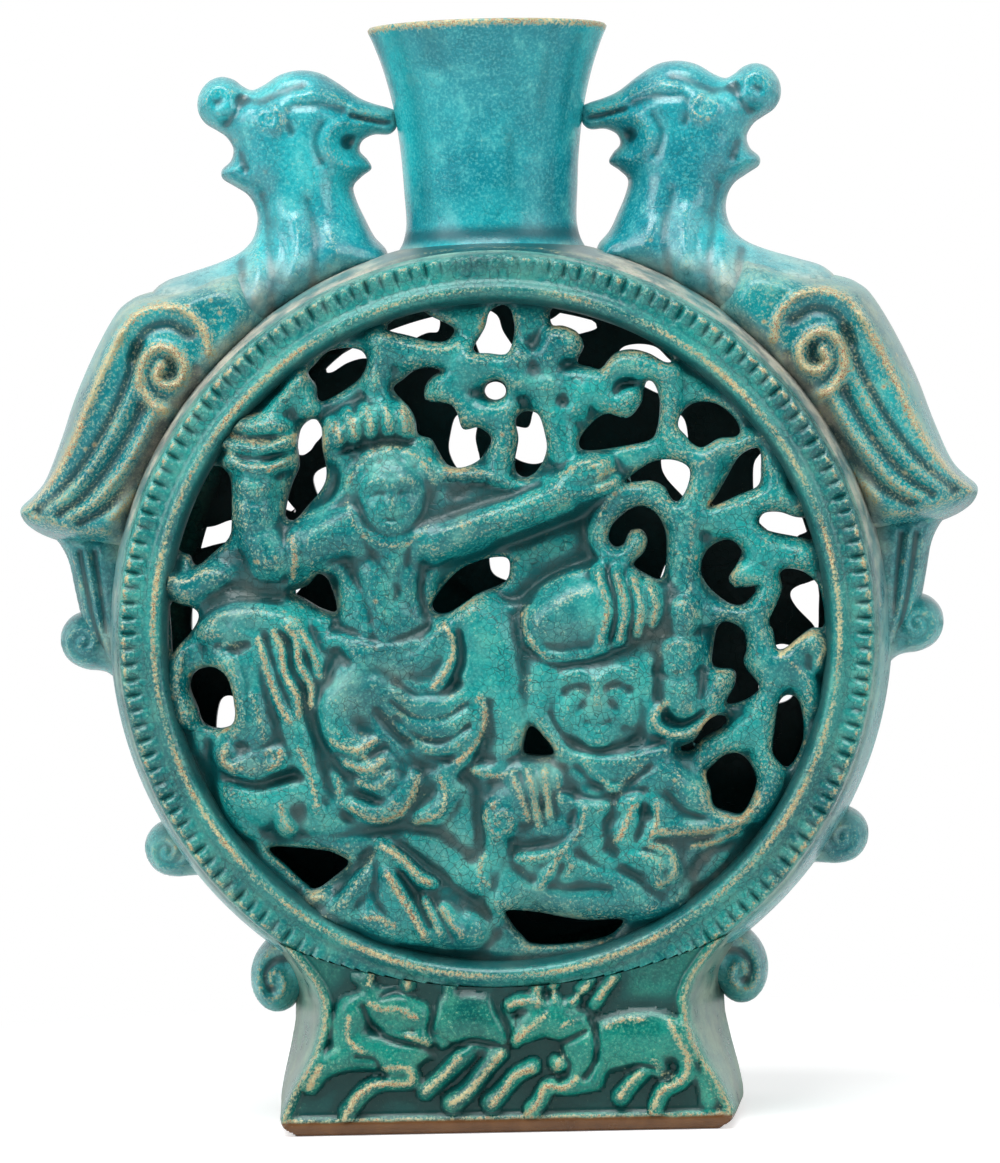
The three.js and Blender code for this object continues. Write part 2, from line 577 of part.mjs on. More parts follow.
function phoenix() {
  const hundredth = NECK_HEIGHT / 100;
  const place = ([x, z]) => [NECK_WAIST_RADIUS + x * hundredth, drumTop + z * hundredth];
  const edge = [[WING_JOINT, WING_TOP_SHARE], [WING_JOINT, SEAT_SINK_SHARE]];
  const chest = [CHEST_ROUND, ...edge, [BREAST_SEAT, SEAT_SINK_SHARE]].map(besideDrum);
  const outline = smoothOutline([...PHOENIX.map(place), ...chest, ...PHOENIX_THROAT.map(place)]);
  const middle = place(PHOENIX_MIDDLE);
  const rough = ornament(outline, middle, PHOENIX_HALF_DEPTH, PHOENIX_DRAW_IN);
  const grownNeck = turnedOnNeck([[0, drumMiddle], ...neckRings(-SLIP_GAP), [0, drumTop + NECK_HEIGHT]]);
  return rough.subtract(drumCore(SLIP_GAP)).subtract(grownNeck).subtract(wedge(0, WING_JOINT));
}

// All that lies between two angles on one side of the drum, for parting neighbouring ornaments.
function wedge(low, high) {
  const far = 3 * DRUM_RADIUS;
  const outline = [[low, SEAT_SINK_SHARE], [low, far], [high, far], [high, SEAT_SINK_SHARE]].map(besideDrum);
  return pressed([{ y: -DRUM_RADIUS, outline }, { y: DRUM_RADIUS, outline }]);
}

// The wing's outer edge, from the phoenix's chest round its shoulder to the tip and the tail.
const WING = [
  [48.4, 19.6], [44.7, 24.7], [41, 27], [35.7, 25.7], [29.8, 24], [24.6, 22.5], [19.1, 22.8], [15.2, 27],
  [13.4, 24.1], [12.2, 15.7],
];

// Ridges on both faces of the wing, as rows of [degrees, height, half-width] with the lengths in
// hundredths of the drum's radius: the volute, the band over it and down the edge, and three feathers.
const WING_RIDGES = [
  [[34.9, 1.2, 1.9], [35.4, 8.3, 1.9], [38.2, 12.3, 1.9], [41.3, 11.2, 1.8], [42.3, 5.6, 1.7],
    [40.2, 1.4, 1.6], [37.8, 4, 1.4]],
  [[45.7, 2, 1.7], [47.3, 10.7, 1.8], [45.1, 18.3, 1.9], [40.7, 21.4, 1.9], [34.4, 19, 1.8],
    [25.9, 16.9, 1.8], [19.4, 18.4, 1.7]],
  [[35.2, 10.6, 1.7], [24.7, 10, 1.8], [16.9, 16.9, 1.5]],
  [[33, 2.2, 1.7], [23.3, 3.3, 1.8], [16.7, 10.6, 1.5]],
  [[30.8, -3.7, 1.5], [21.8, -2.4, 1.6], [17.6, 0.9, 1.4]],
];

function wingRidges() {
  const place = ([degrees, height, width]) => {
    const [x, z] = besideDrum([degrees, height]);
    return [x, z, (width * DRUM_RADIUS) / 100];
  };
  const rows = WING_RIDGES.map((row) => row.map(place));
  const faces = [-WING_HALF_DEPTH, WING_HALF_DEPTH];
  return join(faces.flatMap((face) => rows.map((row) => roll(row, face, WING_RIDGE_RISE))));
}

function wing() {
  const edge = WING_JOINT - jointAngle;
  const top = [[edge, SEAT_SINK_SHARE], [edge, WING_TOP_SHARE]];
  const low = [[TAIL_JOINT, TAIL_TOP_SHARE], [TAIL_JOINT, SEAT_SINK_SHARE]];
  const seat = WING_SEAT.map((degrees) => [degrees, SEAT_SINK_SHARE]);
  const outline = [...top, ...WING, ...low, ...seat].map(besideDrum);
  const rough = ornament(outline, [0, drumMiddle], WING_HALF_DEPTH, WING_DRAW_IN);
  return rough.add(wingRidges()).subtract(drumCore(SLIP_GAP));
}

// The tail's outer edge, from the wing down to the upper scroll.
const TAIL = [[7.5, 10.1], [4, 8.4], [2.2, 7.2], [2.2, SEAT_SINK_SHARE]];

function tail() {
  const edge = TAIL_JOINT - jointAngle;
  const points = [[edge, SEAT_SINK_SHARE], [edge, TAIL_TOP_SHARE - TAIL_STEP_SHARE], ...TAIL];
  const rough = ornament(points.map(besideDrum), [0, drumMiddle], TAIL_HALF_DEPTH, WING_DRAW_IN);
  return rough.subtract(drumCore(SLIP_GAP)).subtract(scrollBlock(SCROLLS.upper, SLIP_GAP));
}

// Scroll knobs on each side: degrees and height of the middle, then half-width and half-height.
const SCROLLS = {
  upper: { at: [-0.5, 5.5], across: 8.5, up: 8.5 },
  middle: { at: [-32.8, 2.1], across: 8, up: 8 },
  lower: { at: [-56, 7.2], across: 7.8, up: 11 },
};
const SCROLL_STEPS = 20;

function scrollBlock({ at, across, up }, joint) {
  const [middleX, middleZ] = besideDrum(at);
  const outline = Array.from({ length: SCROLL_STEPS }, (_, i) => {
    const turn = (2 * Math.PI * i) / SCROLL_STEPS;
    return [middleX + (across + joint) * Math.cos(turn), middleZ + (up + joint) * Math.sin(turn)];
  });
  return ornament(outline, [middleX, middleZ], SCROLL_HALF_DEPTH + joint, SCROLL_DRAW_IN);
}

function scroll(size) {
  return scrollBlock(size, 0).subtract(drumCore(SLIP_GAP)).subtract(footBlock(SLIP_GAP));
}

// The round field inside the ring that the picture keeps to.
function pictureField() {
  const radius = ringInner - SLIP_GAP;
  const depth = DRUM_RADIUS;
  return turnedOnDrum([[0, -depth], [radius, -depth], [radius, depth], [0, depth]]);
}

const holes = piercings();
const field = pictureField().subtract(holes);
const horseJoint = relief(drawn(HORSE), panelFace, HORSE_RISE, SLIP_GAP);
const groomJoint = relief(drawn(GROOM), panelFace, FIGURE_RISE, SLIP_GAP);
const riderJoint = relief(drawn(RIDER), panelFace, FIGURE_RISE, SLIP_GAP);
const treeCut = groomJoint.add(riderJoint);
const rider = relief(drawn(RIDER), panelFace, FIGURE_RISE).subtract(horseJoint).intersect(field);
const horse = relief(drawn(HORSE), panelFace, HORSE_RISE).subtract(groomJoint).intersect(field);
const groom = relief(drawn(GROOM), panelFace, FIGURE_RISE).subtract(riderJoint).intersect(field);
const tree = relief(drawn(TREE), panelFace, TREE_RISE).subtract(treeCut).intersect(field);
const rocks = relief(drawn(ROCKS), panelFace, ROCK_RISE).intersect(field);

// The pieces of one half: its faces belong to the front or back, its ornaments to the right or left.
const halfPieces = [
  ['face', 'shell', shell(), glaze.turquoise],
  ['face', 'bead_ring', ring(), glaze.cream],
  ['face', 'panel', panel(holes), glaze.deep],
  ['face', 'rider', rider, glaze.turquoise],
  ['face', 'horse', horse, glaze.pale],
  ['face', 'groom', groom, glaze.turquoise],
  ['face', 'rocks', rocks, glaze.pale],
  ['face', 'tree', tree, glaze.cream],
  ['face', 'deer_leader', deer(DEER_LEFT), glaze.pale],
  ['face', 'deer_follower', deer(DEER_RIGHT), glaze.pale],
  ['side', 'phoenix', phoenix(), glaze.pale],
  ['side', 'wing', wing(), glaze.turquoise],
  ['side', 'tail', tail(), glaze.turquoise],
  ['side', 'scroll_upper', scroll(SCROLLS.upper), glaze.cream],
  ['side', 'scroll_middle', scroll(SCROLLS.middle), glaze.cream],
  ['side', 'scroll_lower', scroll(SCROLLS.lower), glaze.cream],
];

const vase = new THREE.Group();
vase.name = 'pierced_vase';
vase.add(mesh('foot', foot(), glaze.foot));
vase.add(mesh('neck', neck(), glaze.turquoise));
for (const [face, side, turn] of [['front', 'right', 0], ['back', 'left', Math.PI]]) {
  const half = new THREE.Group();
  half.rotation.z = turn;
  for (const [kind, name, body, colour] of halfPieces) {
    half.add(mesh(`${kind === 'face' ? face : side}_${name}`, body, colour));
  }
  vase.add(half);
}

export default vase;
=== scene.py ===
import math

import bpy
import numpy as np
from mathutils import Matrix, Vector


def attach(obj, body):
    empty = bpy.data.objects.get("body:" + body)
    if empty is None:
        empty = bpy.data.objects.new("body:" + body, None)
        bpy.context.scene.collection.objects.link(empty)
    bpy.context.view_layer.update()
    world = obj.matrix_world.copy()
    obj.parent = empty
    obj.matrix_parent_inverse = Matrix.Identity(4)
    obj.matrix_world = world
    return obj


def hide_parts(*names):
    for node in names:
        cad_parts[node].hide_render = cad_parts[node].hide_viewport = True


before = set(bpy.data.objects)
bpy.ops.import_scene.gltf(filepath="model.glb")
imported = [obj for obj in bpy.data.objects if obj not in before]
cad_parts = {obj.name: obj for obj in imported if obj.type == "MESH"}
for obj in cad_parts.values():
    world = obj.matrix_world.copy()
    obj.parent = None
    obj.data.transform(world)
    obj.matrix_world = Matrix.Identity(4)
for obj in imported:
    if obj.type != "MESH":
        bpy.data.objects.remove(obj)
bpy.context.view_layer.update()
scene = bpy.context.scene
scene.view_settings.view_transform = "Standard"


# The stand: a plain white sweep under the vase, with the eye a long way off at the height of the
# drum's upper half, turned a little to the right and tipped a little, as the vase was photographed.
EYE_TURN = 0.0367
EYE_ROLL = 0.0235
EYE_DROP = 0.02893
EYE_AWAY = 1.7
EYE_HEIGHT = 0.21117
eye_data = bpy.data.cameras.new("eye")
eye_data.lens = 173.55
eye_data.sensor_width = 36
eye_data.clip_end = 20
eye = bpy.data.objects.new("eye", eye_data)
scene.collection.objects.link(eye)
eye.matrix_world = (
    Matrix.Translation((EYE_AWAY * math.sin(EYE_TURN), -EYE_AWAY * math.cos(EYE_TURN), EYE_HEIGHT))
    @ Matrix.Rotation(EYE_TURN, 4, "Z")
    @ Matrix.Rotation(math.pi / 2 - EYE_DROP, 4, "X")
    @ Matrix.Rotation(-EYE_ROLL, 4, "Z")
)
scene.camera = eye


def soft_box(name, place, size, watts):
    """A large square lamp that looks at the middle of the drum."""
    data = bpy.data.lights.new(name, "AREA")
    data.shape = "RECTANGLE"
    data.size, data.size_y = size
    data.energy = watts
    lamp = bpy.data.objects.new(name, data)
    scene.collection.objects.link(lamp)
    lamp.location = place
    lamp.rotation_euler = (Vector((0, 0, 0.16)) - Vector(place)).to_track_quat("-Z", "Y").to_euler()


soft_box("lamp_left", (-1.25, -0.75, 0.85), (0.9, 1.1), 12)
soft_box("lamp_right", (1.25, -0.75, 0.75), (0.9, 1.1), 8)
soft_box("lamp_above", (-0.15, -0.6, 1.5), (1.3, 0.8), 25)

room = bpy.data.worlds.new("room")
scene.world = room
room.use_nodes = True
knots = room.node_tree.nodes
knots.clear()
ways = room.node_tree.links


def larger_of(first, second):
    """A node of the room that passes on the larger of two values."""
    node = knots.new("ShaderNodeMath")
    node.operation = "MAXIMUM"
    ways.new(first, node.inputs[0])
    ways.new(second, node.inputs[1])
    return node.outputs[0]


seen = knots.new("ShaderNodeLightPath").outputs
aim = knots.new("ShaderNodeTexCoord")
split = knots.new("ShaderNodeSeparateXYZ")
ways.new(aim.outputs["Generated"], split.inputs[0])
shade = knots.new("ShaderNodeMapRange")
for key, number in (("From Min", -0.95), ("From Max", 0.25), ("To Min", 0.14), ("To Max", 1.0)):
    shade.inputs[key].default_value = number
ways.new(split.outputs["Y"], shade.inputs["Value"])
dim = knots.new("ShaderNodeBackground")
dim.inputs["Strength"].default_value = 0.42
ways.new(shade.outputs[0], dim.inputs["Color"])
white = knots.new("ShaderNodeBackground")
ways.new(larger_of(seen["Is Camera Ray"], shade.outputs[0]), white.inputs["Color"])
mirrored = larger_of(seen["Is Glossy Ray"], seen["Is Transmission Ray"])
pick = knots.new("ShaderNodeMixShader")
ways.new(larger_of(seen["Is Camera Ray"], mirrored), pick.inputs["Fac"])
ways.new(dim.outputs[0], pick.inputs[1])
ways.new(white.outputs[0], pick.inputs[2])
sky = knots.new("ShaderNodeOutputWorld")
ways.new(pick.outputs[0], sky.inputs["Surface"])

bpy.ops.object.select_all(action="DESELECT")
bpy.ops.mesh.primitive_plane_add(size=8, location=(0, 0, -0.0002))
sweep = bpy.context.object
sweep.name = "sweep"
sweep_white = bpy.data.materials.new("sweep_white")
sweep_white.use_nodes = True
knots = sweep_white.node_tree.nodes
knots.clear()
ways = sweep_white.node_tree.links
paint = knots.new("ShaderNodeBsdfDiffuse")
paint.inputs["Color"].default_value = (0.86, 0.86, 0.86, 1)
glow = knots.new("ShaderNodeEmission")
seen = knots.new("ShaderNodeLightPath")
lift = knots.new("ShaderNodeMath")
lift.operation = "MULTIPLY"
lift.inputs[1].default_value = 0.5
both = knots.new("ShaderNodeAddShader")
ways.new(seen.outputs["Is Camera Ray"], lift.inputs[0])
ways.new(lift.outputs[0], glow.inputs["Strength"])
ways.new(paint.outputs[0], both.inputs[0])
ways.new(glow.outputs[0], both.inputs[1])
spread = knots.new("ShaderNodeTexCoord")
reach = knots.new("ShaderNodeVectorMath")
reach.operation = "LENGTH"
ways.new(spread.outputs["Object"], reach.inputs[0])
fade = knots.new("ShaderNodeMapRange")
fade.interpolation_type = "SMOOTHSTEP"
fade.inputs["From Min"].default_value = 0.06
fade.inputs["From Max"].default_value = 0.34
ways.new(reach.outputs["Value"], fade.inputs["Value"])
away = knots.new("ShaderNodeMath")
away.operation = "MULTIPLY"
ways.new(fade.outputs[0], away.inputs[0])
ways.new(seen.outputs["Is Camera Ray"], away.inputs[1])
paper = knots.new("ShaderNodeEmission")
blend = knots.new("ShaderNodeMixShader")
top = knots.new("ShaderNodeOutputMaterial")
ways.new(away.outputs[0], blend.inputs["Fac"])
ways.new(both.outputs[0], blend.inputs[1])
ways.new(paper.outputs[0], blend.inputs[2])
ways.new(blend.outputs[0], top.inputs["Surface"])
sweep.data.materials.append(sweep_white)


# The drum shells: front and back half of the flat round body, pressed in bowl moulds in porcelain
# clay and luted along the seam at the middle. The turquoise glaze has gone grey and thin on top; part
# of the grey is a painted pale reflection, and the inside is painted in shade.
MM = 0.001
DRUM_MIDDLE = 148.0
SHELL_PROFILE = [
    (118.5, 0), (118.3, -5), (117.9, -11), (117.2, -17), (116.4, -23), (115.4, -29), (114.5, -33.5),
    (113.7, -36.5), (113.0, -37.9), (111.6, -38.2), (108.0, -38.2), (106.6, -37.0), (106.6, -30.5),
    (108.6, -24), (110.4, -14), (111.4, -5), (111.5, 0),
]
SHELL_STEPS = 224
SHELL_INSIDE = 111.8
NECK_HOLE = 20.3


def linear(red, green, blue):
    """A colour as it is seen, 0 to 255, as the shader wants it."""
    tint = [c / 255 for c in (red, green, blue)]
    return tuple(c / 12.92 if c < 0.04045 else ((c + 0.055) / 1.055) ** 2.4 for c in tint) + (1.0,)


def glaze_group():
    """The turquoise glaze: dark where it pools and where shade is painted in, grey where it is dulled or a
    pale reflection is painted on, cream and rust where it breaks, and crackled.
    """
    group = bpy.data.node_groups.new("turquoise_glaze", "ShaderNodeTree")
    for name in ("Thin", "Pool_shade", "Haze_sheen", "Crackle", "Deep"):
        group.interface.new_socket(name, in_out="INPUT", socket_type="NodeSocketFloat")
    for name, kind in (("Color", "Color"), ("Roughness", "Float"), ("Height", "Float")):
        group.interface.new_socket(name, in_out="OUTPUT", socket_type="NodeSocket" + kind)
    node = group.nodes.new
    link = group.links.new
    given = node("NodeGroupInput").outputs
    made = node("NodeGroupOutput").inputs
    place = node("ShaderNodeTexCoord").outputs["Object"]

    def feed(slot_in, value):
        """Sets a number or a colour as it is seen, or links another node's result."""
        if isinstance(value, (int, float)):
            slot_in.default_value = value
        elif isinstance(value, tuple):
            slot_in.default_value = linear(*value)
        else:
            link(value, slot_in)

    def cloud(scale, detail, rough=0.55):
        n = node("ShaderNodeTexNoise")
        for key, value in (("Scale", scale), ("Detail", detail), ("Roughness", rough), ("Vector", place)):
            feed(n.inputs[key], value)
        return n.outputs["Fac"]

    def ramp(value, low, high, to_low=0.0, to_high=1.0):
        n = node("ShaderNodeMapRange")
        n.interpolation_type = "SMOOTHSTEP"
        ends = (("From Min", low), ("From Max", high), ("To Min", to_low), ("To Max", to_high))
        for key, number in ends + (("Value", value),):
            feed(n.inputs[key], number)
        return n.outputs[0]

    def plus(a, b, kind="ADD"):
        n = node("ShaderNodeMath")
        n.operation = kind
        feed(n.inputs[0], a)
        feed(n.inputs[1], b)
        return n.outputs[0]

    def times(a, b):
        return plus(a, b, "MULTIPLY")

    def over(share, under, upper):
        n = node("ShaderNodeMix")
        n.data_type = "RGBA"
        feed(n.inputs["Factor"], share)
        feed(n.inputs["A"], under)
        feed(n.inputs["B"], upper)
        return n.outputs["Result"]

    # the turquoise itself, cloudy and finely mottled
    broad = cloud(26, 3)
    middle = cloud(120, 4, 0.6)
    fine = cloud(1150, 2, 0.6)
    dust = cloud(2300, 1, 0.6)
    deep = given["Deep"]
    dark = over(deep, (6, 130, 144), (0, 78, 71))
    light = over(deep, (34, 174, 182), (10, 124, 107))
    pale = over(deep, (104, 204, 200), (76, 163, 134))
    tone = over(ramp(broad, 0.34, 0.66), dark, light)
    tone = over(times(ramp(middle, 0.48, 0.74), 0.5), tone, pale)
    tone = over(times(ramp(middle, 0.5, 0.26), 0.5), tone, over(deep, (10, 106, 118), (0, 56, 58)))
    tone = over(times(ramp(fine, 0.46, 0.7), 0.36), tone, pale)
    tone = over(times(ramp(fine, 0.5, 0.3), 0.3), tone, over(deep, (12, 110, 120), (0, 58, 60)))
    # thick and dark in the hollows where it pools and where shade is painted in; grey where the kiln dulled
    # it, and pale grey where a reflection is painted on
    pool_shade_level = plus(given["Pool_shade"], times(plus(middle, -0.5), 0.4))
    tone = over(ramp(pool_shade_level, 0.05, 0.7, 0.0, 0.92), tone, over(deep, (0, 80, 90), (0, 62, 60)))
    tone = over(ramp(pool_shade_level, 0.7, 1.3, 0.0, 0.9), tone, (0, 36, 36))
    haze_sheen_level = times(given["Haze_sheen"], ramp(cloud(60, 4, 0.65), 0.3, 0.62, 0.45, 1.0))
    tone = over(haze_sheen_level, tone, over(ramp(middle, 0.35, 0.65), (122, 120, 116), (184, 178, 164)))
    # run thin on the ridges: pale green, then cream with rust in it, and rust specks in cream rings
    worn = plus(given["Thin"], times(plus(fine, -0.5), 1.8))
    worn = plus(worn, times(plus(middle, -0.5), 0.4))
    bare = ramp(worn, 0.3, 0.82, 0.0, 0.66)
    tone = over(bare, tone, over(ramp(dust, 0.4, 0.6), (120, 164, 140), (178, 182, 146)))
    rust = times(ramp(dust, 0.5, 0.58), ramp(cloud(75, 3, 0.6), 0.38, 0.56, 0.35, 1.0))
    cream = over(ramp(middle, 0.4, 0.66), (206, 196, 150), (182, 170, 126))
    tone = over(ramp(worn, 0.56, 0.94, 0.0, 0.9), tone, over(rust, cream, (140, 84, 52)))
    flecks = node("ShaderNodeTexVoronoi")
    feed(flecks.inputs["Scale"], 210)
    feed(flecks.inputs["Vector"], place)
    from_fleck = flecks.outputs["Distance"]
    speckled = times(ramp(cloud(45, 2), 0.5, 0.6), ramp(given["Thin"], 0.04, 0.3))
    tone = over(times(ramp(from_fleck, 0.08, 0.24, 0.6, 0.0), speckled), tone, (198, 188, 142))
    heart = times(ramp(from_fleck, 0.06, 0.14, 0.9, 0.0), speckled)
    tone = over(times(heart, ramp(dust, 0.42, 0.56)), tone, (142, 82, 52))
    # the crackle: a net of fine dark lines about 3 mm apart, a little crooked
    tremble = node("ShaderNodeTexNoise")
    feed(tremble.inputs["Scale"], 260)
    feed(tremble.inputs["Vector"], place)
    crooked = node("ShaderNodeVectorMath")
    crooked.operation = "MULTIPLY_ADD"
    link(tremble.outputs["Color"], crooked.inputs[0])
    crooked.inputs[1].default_value = (0.0016, 0.0016, 0.0016)
    link(place, crooked.inputs[2])
    cells = node("ShaderNodeTexVoronoi")
    cells.feature = "DISTANCE_TO_EDGE"
    feed(cells.inputs["Scale"], 440)
    link(crooked.outputs[0], cells.inputs["Vector"])
    lines = ramp(cells.outputs["Distance"], 0.01, 0.055, 1.0, 0.0)
    lines = times(lines, ramp(cloud(48, 2), 0.34, 0.52, 0.2, 1.0))
    lines = times(lines, given["Crackle"])
    link(over(times(lines, 0.72), tone, (6, 52, 52)), made["Color"])
    wear = plus(times(bare, 0.16), times(haze_sheen_level, 0.3))
    wear = plus(wear, ramp(pool_shade_level, 0.1, 0.7, 0.0, 0.12))
    link(plus(ramp(middle, 0.3, 0.7, 0.17, 0.28), wear), made["Roughness"])
    skin = plus(times(middle, 0.5), times(fine, 0.12))
    link(plus(skin, times(lines, -0.25)), made["Height"])
    return group


turquoise = glaze_group()


def glaze_material(name, crackle, deep, shine=1.42):
    """The glaze on one kind of piece, reading that piece's own thin places, its pooled places with painted
    shade, and its hazed places with painted reflection.
    """
    material = bpy.data.materials.new(name)
    material.use_nodes = True
    nodes = material.node_tree.nodes
    link = material.node_tree.links.new
    skin = nodes["Principled BSDF"]
    skin.inputs["IOR"].default_value = shine
    glaze = nodes.new("ShaderNodeGroup")
    glaze.node_tree = turquoise
    glaze.inputs["Crackle"].default_value = crackle
    glaze.inputs["Deep"].default_value = deep
    for mask in ("Thin", "Pool_shade", "Haze_sheen"):
        read = nodes.new("ShaderNodeAttribute")
        read.attribute_name = mask.lower()
        link(read.outputs["Fac"], glaze.inputs[mask])
    bump = nodes.new("ShaderNodeBump")
    bump.inputs["Strength"].default_value = 0.35
    bump.inputs["Distance"].default_value = 0.0006
    link(glaze.outputs["Height"], bump.inputs["Height"])
    link(glaze.outputs["Color"], skin.inputs["Base Color"])
    link(glaze.outputs["Roughness"], skin.inputs["Roughness"])
    link(bump.outputs[0], skin.inputs["Normal"])
    return material


def stain(piece, rule):
    """Writes a piece's thin places, pooled places with painted shade and hazed places with painted
    reflection: ready values, or a rule for its points in mm.
    """
    count = len(piece.data.vertices)
    points = np.empty(count * 3)
    piece.data.vertices.foreach_get("co", points)
    masks = rule(points.reshape(-1, 3) / MM) if callable(rule) else rule
    for name, values in zip(("thin", "pool_shade", "haze_sheen"), masks):
        layer = piece.data.attributes.new(name, "FLOAT", "POINT")
        values = np.clip(np.broadcast_to(values, (count,)), 0, 1)
        layer.data.foreach_set("value", values.astype(np.float32))


def fired(piece, material, slot, *nodes):
    """Puts the glaze on a finished piece and lets it stand for its CAD nodes."""
    piece.data.materials.clear()
    piece.data.materials.append(material)
    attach(piece, "root")
    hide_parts(*nodes)


def turned(name, profile, steps, centre, axis):
    """A closed profile of (radius, along) points in mm, spun about an axis of the vase."""
    bpy.ops.object.select_all(action="DESELECT")
    bpy.ops.mesh.primitive_circle_add(vertices=len(profile), radius=0.01, fill_type="NOTHING")
    piece = bpy.context.object
    piece.name = name
    for point, (radius, along) in zip(piece.data.vertices, profile):
        point.co = (radius * MM, along * MM, centre[2]) if axis[1] else (radius * MM, 0, along * MM)
    bpy.ops.object.mode_set(mode="EDIT")
    bpy.ops.mesh.select_all(action="SELECT")
    bpy.ops.mesh.spin(steps=steps, angle=math.tau, center=centre, axis=axis)
    bpy.ops.mesh.select_all(action="SELECT")
    bpy.ops.mesh.remove_doubles(threshold=1e-6)
    bpy.ops.mesh.normals_make_consistent(inside=False)
    bpy.ops.object.mode_set(mode="OBJECT")
    return piece


def take_up(piece):
    """Makes a piece the only chosen one and the active one."""
    bpy.ops.object.select_all(action="DESELECT")
    bpy.context.view_layer.objects.active = piece
    piece.select_set(True)


def cut_by(piece, tool):
    """Takes a tool's solid out of a piece and throws the tool away."""
    take_up(piece)
    cut = piece.modifiers.new("cut", "BOOLEAN")
    cut.operation = "DIFFERENCE"
    cut.solver = "EXACT"
    cut.object = tool
    bpy.ops.object.modifier_apply(modifier=cut.name)
    bpy.data.objects.remove(tool)


def smoothed(piece, degrees):
    """Smooth shading that keeps edges sharper than an angle."""
    take_up(piece)
    bpy.ops.object.shade_smooth_by_angle(angle=math.radians(degrees))


def both_sides(piece, node, rule, material, slot):
    """Glazes a piece and a copy of it turned half round the neck, for the back or the left."""
    across = node.replace("front_", "back_").replace("right_", "left_")
    other = piece.copy()
    other.data = piece.data.copy()
    other.name = across + "_glazed"
    scene.collection.objects.link(other)
    other.data.transform(Matrix.Rotation(math.pi, 4, "Z"))
    for half, name in ((piece, node), (other, across)):
        stain(half, rule)
        fired(half, material, slot, name)


def step_up(value, low, high):
    """Rises softly from 0 to 1 between two values."""
    t = np.clip((value - low) / (high - low), 0, 1)
    return t * t * (3 - 2 * t)


def shell_places(p):
    """Grey haze over the shoulders and sides, partly a painted pale reflection, a dark line where the ring
    and the neck are luted on, a darker top, and painted shade over the inside.
    """
    x, y, z = p.T
    round_the_drum = np.hypot(x, z - DRUM_MIDDLE)
    from_top = np.abs(np.degrees(np.arctan2(x, z - DRUM_MIDDLE)))
    # grey over the shoulders and sides: partly dulled glaze, partly a painted pale reflection
    haze_sheen = 0.68 * step_up(from_top, 9, 20) * step_up(-from_top, -105, -60)
    haze_sheen = 0.25 * step_up(from_top, 6, 16) + haze_sheen
    pool_shade = np.clip(1 - np.abs(round_the_drum - 113.2) / 1.3, 0, 1) * (np.abs(y) > 34) * 0.5
    # darker over the top of the drum
    pool_shade = np.maximum(pool_shade, 0.95 * step_up(-from_top, -22, -8))
    pool_shade = np.maximum(pool_shade, np.clip(1 - (np.hypot(x, y) - 25.5) / 3.5, 0, 1) * (z > 230))
    # painted shade over the whole inside of the shell
    pool_shade = np.maximum(pool_shade, (round_the_drum < SHELL_INSIDE) * 1.0)
    thin = np.clip(1 - np.abs(round_the_drum - 114.3) / 0.9, 0, 1) * 0.5
    return thin, pool_shade, haze_sheen


drum_glaze = glaze_material("drum_glaze", 0.35, 0.3)
drum_centre = (0, 0, DRUM_MIDDLE * MM)
front_shell = turned("front_shell_glazed", SHELL_PROFILE, SHELL_STEPS, drum_centre, (0, 1, 0))
bpy.ops.object.select_all(action="DESELECT")
bpy.ops.mesh.primitive_cylinder_add(
    vertices=96, radius=NECK_HOLE * MM, depth=0.06, location=(0, 0, 0.262)
)
cut_by(front_shell, bpy.context.object)
smoothed(front_shell, 35)
both_sides(front_shell, "front_shell", shell_places, drum_glaze, "drum_glaze")


# The bead rings: a moulded rope of porcelain clay luted round each face of the drum, with a raised crest
# inside and a slope outside that is notched into small bar-shaped beads. The glaze has run off the crest
# and lies dark in the notches, with painted shade there and on the inner wall by the panel.
RING_LINE = [
    (97.5, 38.5), (97.5, 39.6), (97.6, 40.8), (97.9, 42.2), (98.5, 43.6), (99.3, 44.9), (100.2, 45.8),
    (101.2, 46.2), (102.1, 46.1), (102.9, 45.6), (103.5, 45.0), (104.1, 44.5), (104.7, 44.2),
    (105.3, 44.1), (105.9, 44.1), (106.5, 44.2), (107.1, 44.3), (107.7, 44.5), (108.3, 44.7),
    (108.9, 44.9), (109.5, 45.0), (110.1, 45.0), (110.6, 44.9), (111.1, 44.6), (111.5, 44.1),
    (111.9, 43.4), (112.2, 42.4), (112.4, 41.0),
    (112.5, 40.0), (112.7, 39.2), (113.0, 38.5), (113.25, 38.0), (113.1, 37.75), (111.6, 38.25),
    (108.0, 38.5), (102.0, 38.5),
]
RING_BACK = 38.6
CREST = 101.5
VALLEY = 104.6
BEAD_TIPS = 110.6
BEADS = 150
BEAD_STEPS = 10
NOTCH = 1.6
SADDLE_MIDDLE = 205.0
SADDLE_RADIUS = 162.0


def bell(value, middle, reach, power=2):
    """1 at the middle, falling softly to 0 beyond a reach."""
    return np.exp(-(((value - middle) / reach) ** power))


def pressed_mesh(name, points, quads):
    """A mesh of points in mm and four-cornered faces, as a new object at the origin."""
    mesh = bpy.data.meshes.new(name)
    mesh.vertices.add(len(points))
    mesh.vertices.foreach_set("co", (np.asarray(points, float) * MM).ravel())
    quads = np.asarray(quads, np.int32)
    mesh.loops.add(quads.size)
    mesh.loops.foreach_set("vertex_index", quads.ravel())
    mesh.polygons.add(len(quads))
    mesh.polygons.foreach_set("loop_start", np.arange(0, quads.size, 4, dtype=np.int32))
    mesh.update(calc_edges=True)
    mesh.validate()
    piece = bpy.data.objects.new(name, mesh)
    scene.collection.objects.link(piece)
    return piece


